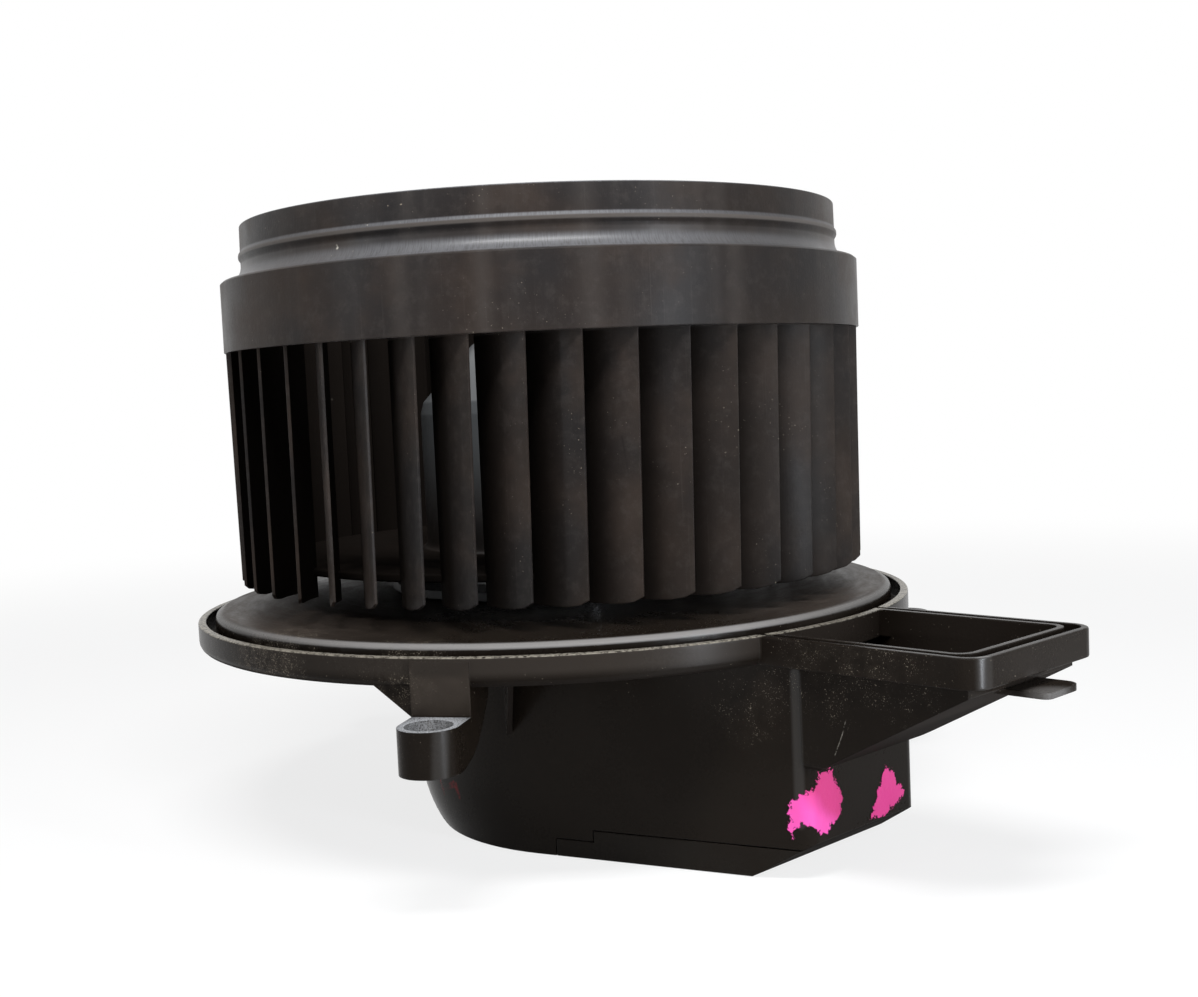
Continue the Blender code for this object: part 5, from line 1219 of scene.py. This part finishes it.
def wall_place(path, along):
    """Spot and outward normal on the wall's plan at a length along it."""
    for first, second in zip(path, path[1:]):
        line = Vector(second) - Vector(first)
        if along <= line.length or second is path[-1]:
            return Vector(first) + line * (along / line.length), Vector((-line.y, line.x)).normalized()
        along -= line.length


def paint_blot(name, outline, material, wall, path):
    """Thin skin of paint that follows the wall, with room for its ragged edge."""
    shape = bmesh.new()
    inside = shape.verts.layers.float.new("edge_distance")
    margin = Vector((PAINT_MARGIN, PAINT_MARGIN))
    low = Vector([min(column) for column in zip(*outline)]) - margin
    high = Vector([max(column) for column in zip(*outline)]) + margin
    columns, rows = (int((high[k] - low[k]) / PAINT_STEP) + 1 for k in (0, 1))
    grid = {}
    for column in range(columns):
        spot, normal = wall_place(path, low.x + column * PAINT_STEP)
        out = Vector((normal.x, normal.y, 0.0))
        for row in range(rows):
            height = low.y + row * PAINT_STEP
            distance = edge_distance(Vector((low.x + column * PAINT_STEP, height)), outline)
            hit = wall.ray_cast(Vector((spot.x, spot.y, height)) + out * 0.01, -out, 0.03)[0]
            if distance > -PAINT_MARGIN and hit and height > COVER_SLANT_RISE:
                grid[column, row] = shape.verts.new(hit + out * PAINT_LIFT)
                grid[column, row][inside] = distance * 1000.0
    for (column, row), corner in list(grid.items()):
        others = [grid.get((column + a, row + b)) for a, b in ((1, 0), (1, 1), (0, 1))]
        if all(others):
            shape.faces.new((corner, *others))
    item = new_object(name, shape)
    item.data.materials.append(material)
    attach(item, "housing")
    return item


def paint_marks(moulding):
    wall = BVHTree.FromObject(moulding, bpy.context.evaluated_depsgraph_get())
    middle = [(CHAMBER_END, 0.0)] + [spot for spot in chamber_outline() if spot[1] < 0.0]
    far_side = [(CHAMBER_END, PAINT_FAR_REACH), (CHAMBER_END, 0.0)]
    near_pink = marker_paint("pink_paint", PINK_DEEP, PINK_BRIGHT)
    far_pink = marker_paint("pink_paint_shaded", PINK_SHADED, PINK_BRIGHT)
    paint_blot("paint_blot_near", BLOT_NEAR, near_pink, wall, middle)
    shifted = [(u + PAINT_FAR_REACH, z) for u, z in BLOT_FAR]
    paint_blot("paint_blot_far", shifted, far_pink, wall, far_side + middle[1:])


# Scene
WHITE = (1.0, 1.0, 1.0)
PAPER = (0.88, 0.88, 0.88)
WORLD_FILL = (0.13, 0.134, 0.142)
FLOOR_RADIUS = 6.0
FLOOR_HEIGHT = -0.0002
FLOOR_FADE = (0.25, 0.75)
FLOOR_GLOW = 0.80

# Lamps, each (name, spot, aim, size, watts, colour)
LAMPS = (
    ("top softbox", (0.24, -0.24, 0.66), (0.02, -0.02, 0.11), (0.42, 0.12), 5.6, WHITE),
    ("left strip", (-0.27, -0.84, 0.31), (0.0, 0.0, 0.10), (0.05, 0.60), 1.0, (0.90, 0.95, 1.0)),
    ("right strip", (0.85, 0.05, 0.31), (0.0, 0.0, 0.08), (0.03, 0.62), 3.2, (0.88, 0.94, 1.0)),
    ("low strip", (0.30, -0.036, 0.055), (0.10, -0.036, 0.040), (0.018, 0.11), 0.20, (0.88, 0.93, 1.0)),
)


def camera():
    data = bpy.data.cameras.new("photo camera")
    data.sensor_width = 36.0
    data.lens = CAMERA_LENS
    data.clip_start = 0.01
    item = bpy.data.objects.new("photo camera", data)
    bpy.context.scene.collection.objects.link(item)
    pose = Matrix((CAMERA_RIGHT, CAMERA_UP, CAMERA_BACK)).transposed().to_4x4()
    pose.translation = CAMERA_SPOT
    item.matrix_world = pose
    bpy.context.scene.camera = item
    bpy.context.scene.view_settings.view_transform = "Standard"


def lamp(name, spot, aim, size, power, colour):
    data = bpy.data.lights.new(name, "AREA")
    data.shape = "RECTANGLE"
    data.size, data.size_y = size
    data.energy = power
    data.color = colour
    item = bpy.data.objects.new(name, data)
    bpy.context.scene.collection.objects.link(item)
    item.location = spot
    item.rotation_euler = (Vector(aim) - Vector(spot)).to_track_quat("-Z", "Y").to_euler()


def studio_world():
    """Soft fill that the eye, gloss and glass see as white."""
    world = bpy.data.worlds.new("studio")
    bpy.context.scene.world = world
    world.use_nodes = True
    world.node_tree.nodes.clear()
    nodes = Nodes(world.node_tree)
    fill = nodes.node("ShaderNodeBackground", None, {"Color": WORLD_FILL})
    white = nodes.node("ShaderNodeBackground", None, {"Color": WHITE})
    blend = nodes.node("ShaderNodeMixShader", None, {0: nodes.seen_by_eye(), 1: fill, 2: white})
    nodes.feed(nodes.tree.nodes.new("ShaderNodeOutputWorld").inputs["Surface"], blend)


def studio_floor():
    """White paper that keeps a faint shadow near the part."""
    shape = bmesh.new()
    bmesh.ops.create_circle(shape, cap_ends=True, segments=96, radius=FLOOR_RADIUS)
    item = new_object("floor", shape)
    finish = Finish("floor_paper")
    away = finish.fade(finish.around()[1], *FLOOR_FADE)
    glow = finish.node("ShaderNodeEmission", None, {"Color": WHITE, "Strength": 1.0})
    paper = finish.node("ShaderNodeBsdfDiffuse", None, {"Color": PAPER})
    share = finish.seen_by_eye() * (FLOOR_GLOW + away * (1.0 - FLOOR_GLOW))
    finish.surface(finish.node("ShaderNodeMixShader", None, {0: share, 1: paper, 2: glow}))
    item.data.materials.append(finish.material)
    item.location.z = FLOOR_HEIGHT


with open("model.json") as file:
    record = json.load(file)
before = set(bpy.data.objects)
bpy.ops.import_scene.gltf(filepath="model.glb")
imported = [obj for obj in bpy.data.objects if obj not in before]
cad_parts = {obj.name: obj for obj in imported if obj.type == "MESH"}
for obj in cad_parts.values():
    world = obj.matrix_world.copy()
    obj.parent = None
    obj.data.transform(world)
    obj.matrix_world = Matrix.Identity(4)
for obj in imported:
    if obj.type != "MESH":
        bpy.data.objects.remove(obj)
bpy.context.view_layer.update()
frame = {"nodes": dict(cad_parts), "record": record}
camera()
studio_world()
studio_floor()
for settings in LAMPS:
    lamp(*settings)
wheel()
paint_marks(housing(housing_plastic("housing_plastic")))
lower_cover(housing_plastic("cover_plastic", COVER_BLACK))
finishes = {
    "shaft_steel": metal("shaft_steel", (0.55, 0.55, 0.56), 0.22),
    "insert_brass": metal("insert_brass", (0.60, 0.45, 0.18), 0.30),
    "clip_steel": metal("clip_steel", (0.50, 0.50, 0.52), 0.30),
    "lamination_steel": metal("lamination_steel", (0.25, 0.25, 0.26), 0.45, (1.0, 40.0, 3000.0)),
    "winding_copper": wound_copper(),
    "commutator_copper": metal("commutator_copper", (0.62, 0.28, 0.14), 0.28),
    "can_steel": metal("can_steel", (0.50, 0.50, 0.50), 0.34, (60.0, 300.0, 120.0)),
    "magnet_ferrite": plain_plastic("magnet_ferrite", (0.050, 0.050, 0.055), 0.62),
    "cap_plastic": plain_plastic("cap_plastic", (0.022, 0.022, 0.022), 0.42),
    "bearing_bronze": metal("bearing_bronze", (0.42, 0.27, 0.14), 0.48, (200.0, 900.0, 900.0)),
    "brush_carbon": plain_plastic("brush_carbon", (0.040, 0.040, 0.040), 0.55),
    "holder_brass": metal("holder_brass", (0.60, 0.45, 0.18), 0.32, (90.0, 300.0, 100.0)),
    "spring_steel": metal("spring_steel", (0.45, 0.45, 0.46), 0.30, (90.0, 300.0, 100.0)),
    "black_rubber": rubber("black_rubber"),
    "retainer_plastic": plain_plastic("retainer_plastic", (0.024, 0.024, 0.024), 0.42),
    "screw_steel": metal("screw_steel", (0.55, 0.55, 0.56), 0.30, (90.0, 900.0, 100.0)),
    "connector_plastic": plain_plastic("connector_plastic", (0.020, 0.020, 0.020), 0.40),
    "terminal_metal": metal("terminal_metal", (0.62, 0.61, 0.58), 0.28, (90.0, 300.0, 900.0)),
    "lead_sleeve": plain_plastic("lead_sleeve", (0.30, 0.02, 0.015), 0.45),
}
for part in frame["record"]["subparts"]:
    node = frame["nodes"][part["node"]]
    if part["material_slot"] in finishes:
        node.data.materials.clear()
        node.data.materials.append(finishes[part["material_slot"]])
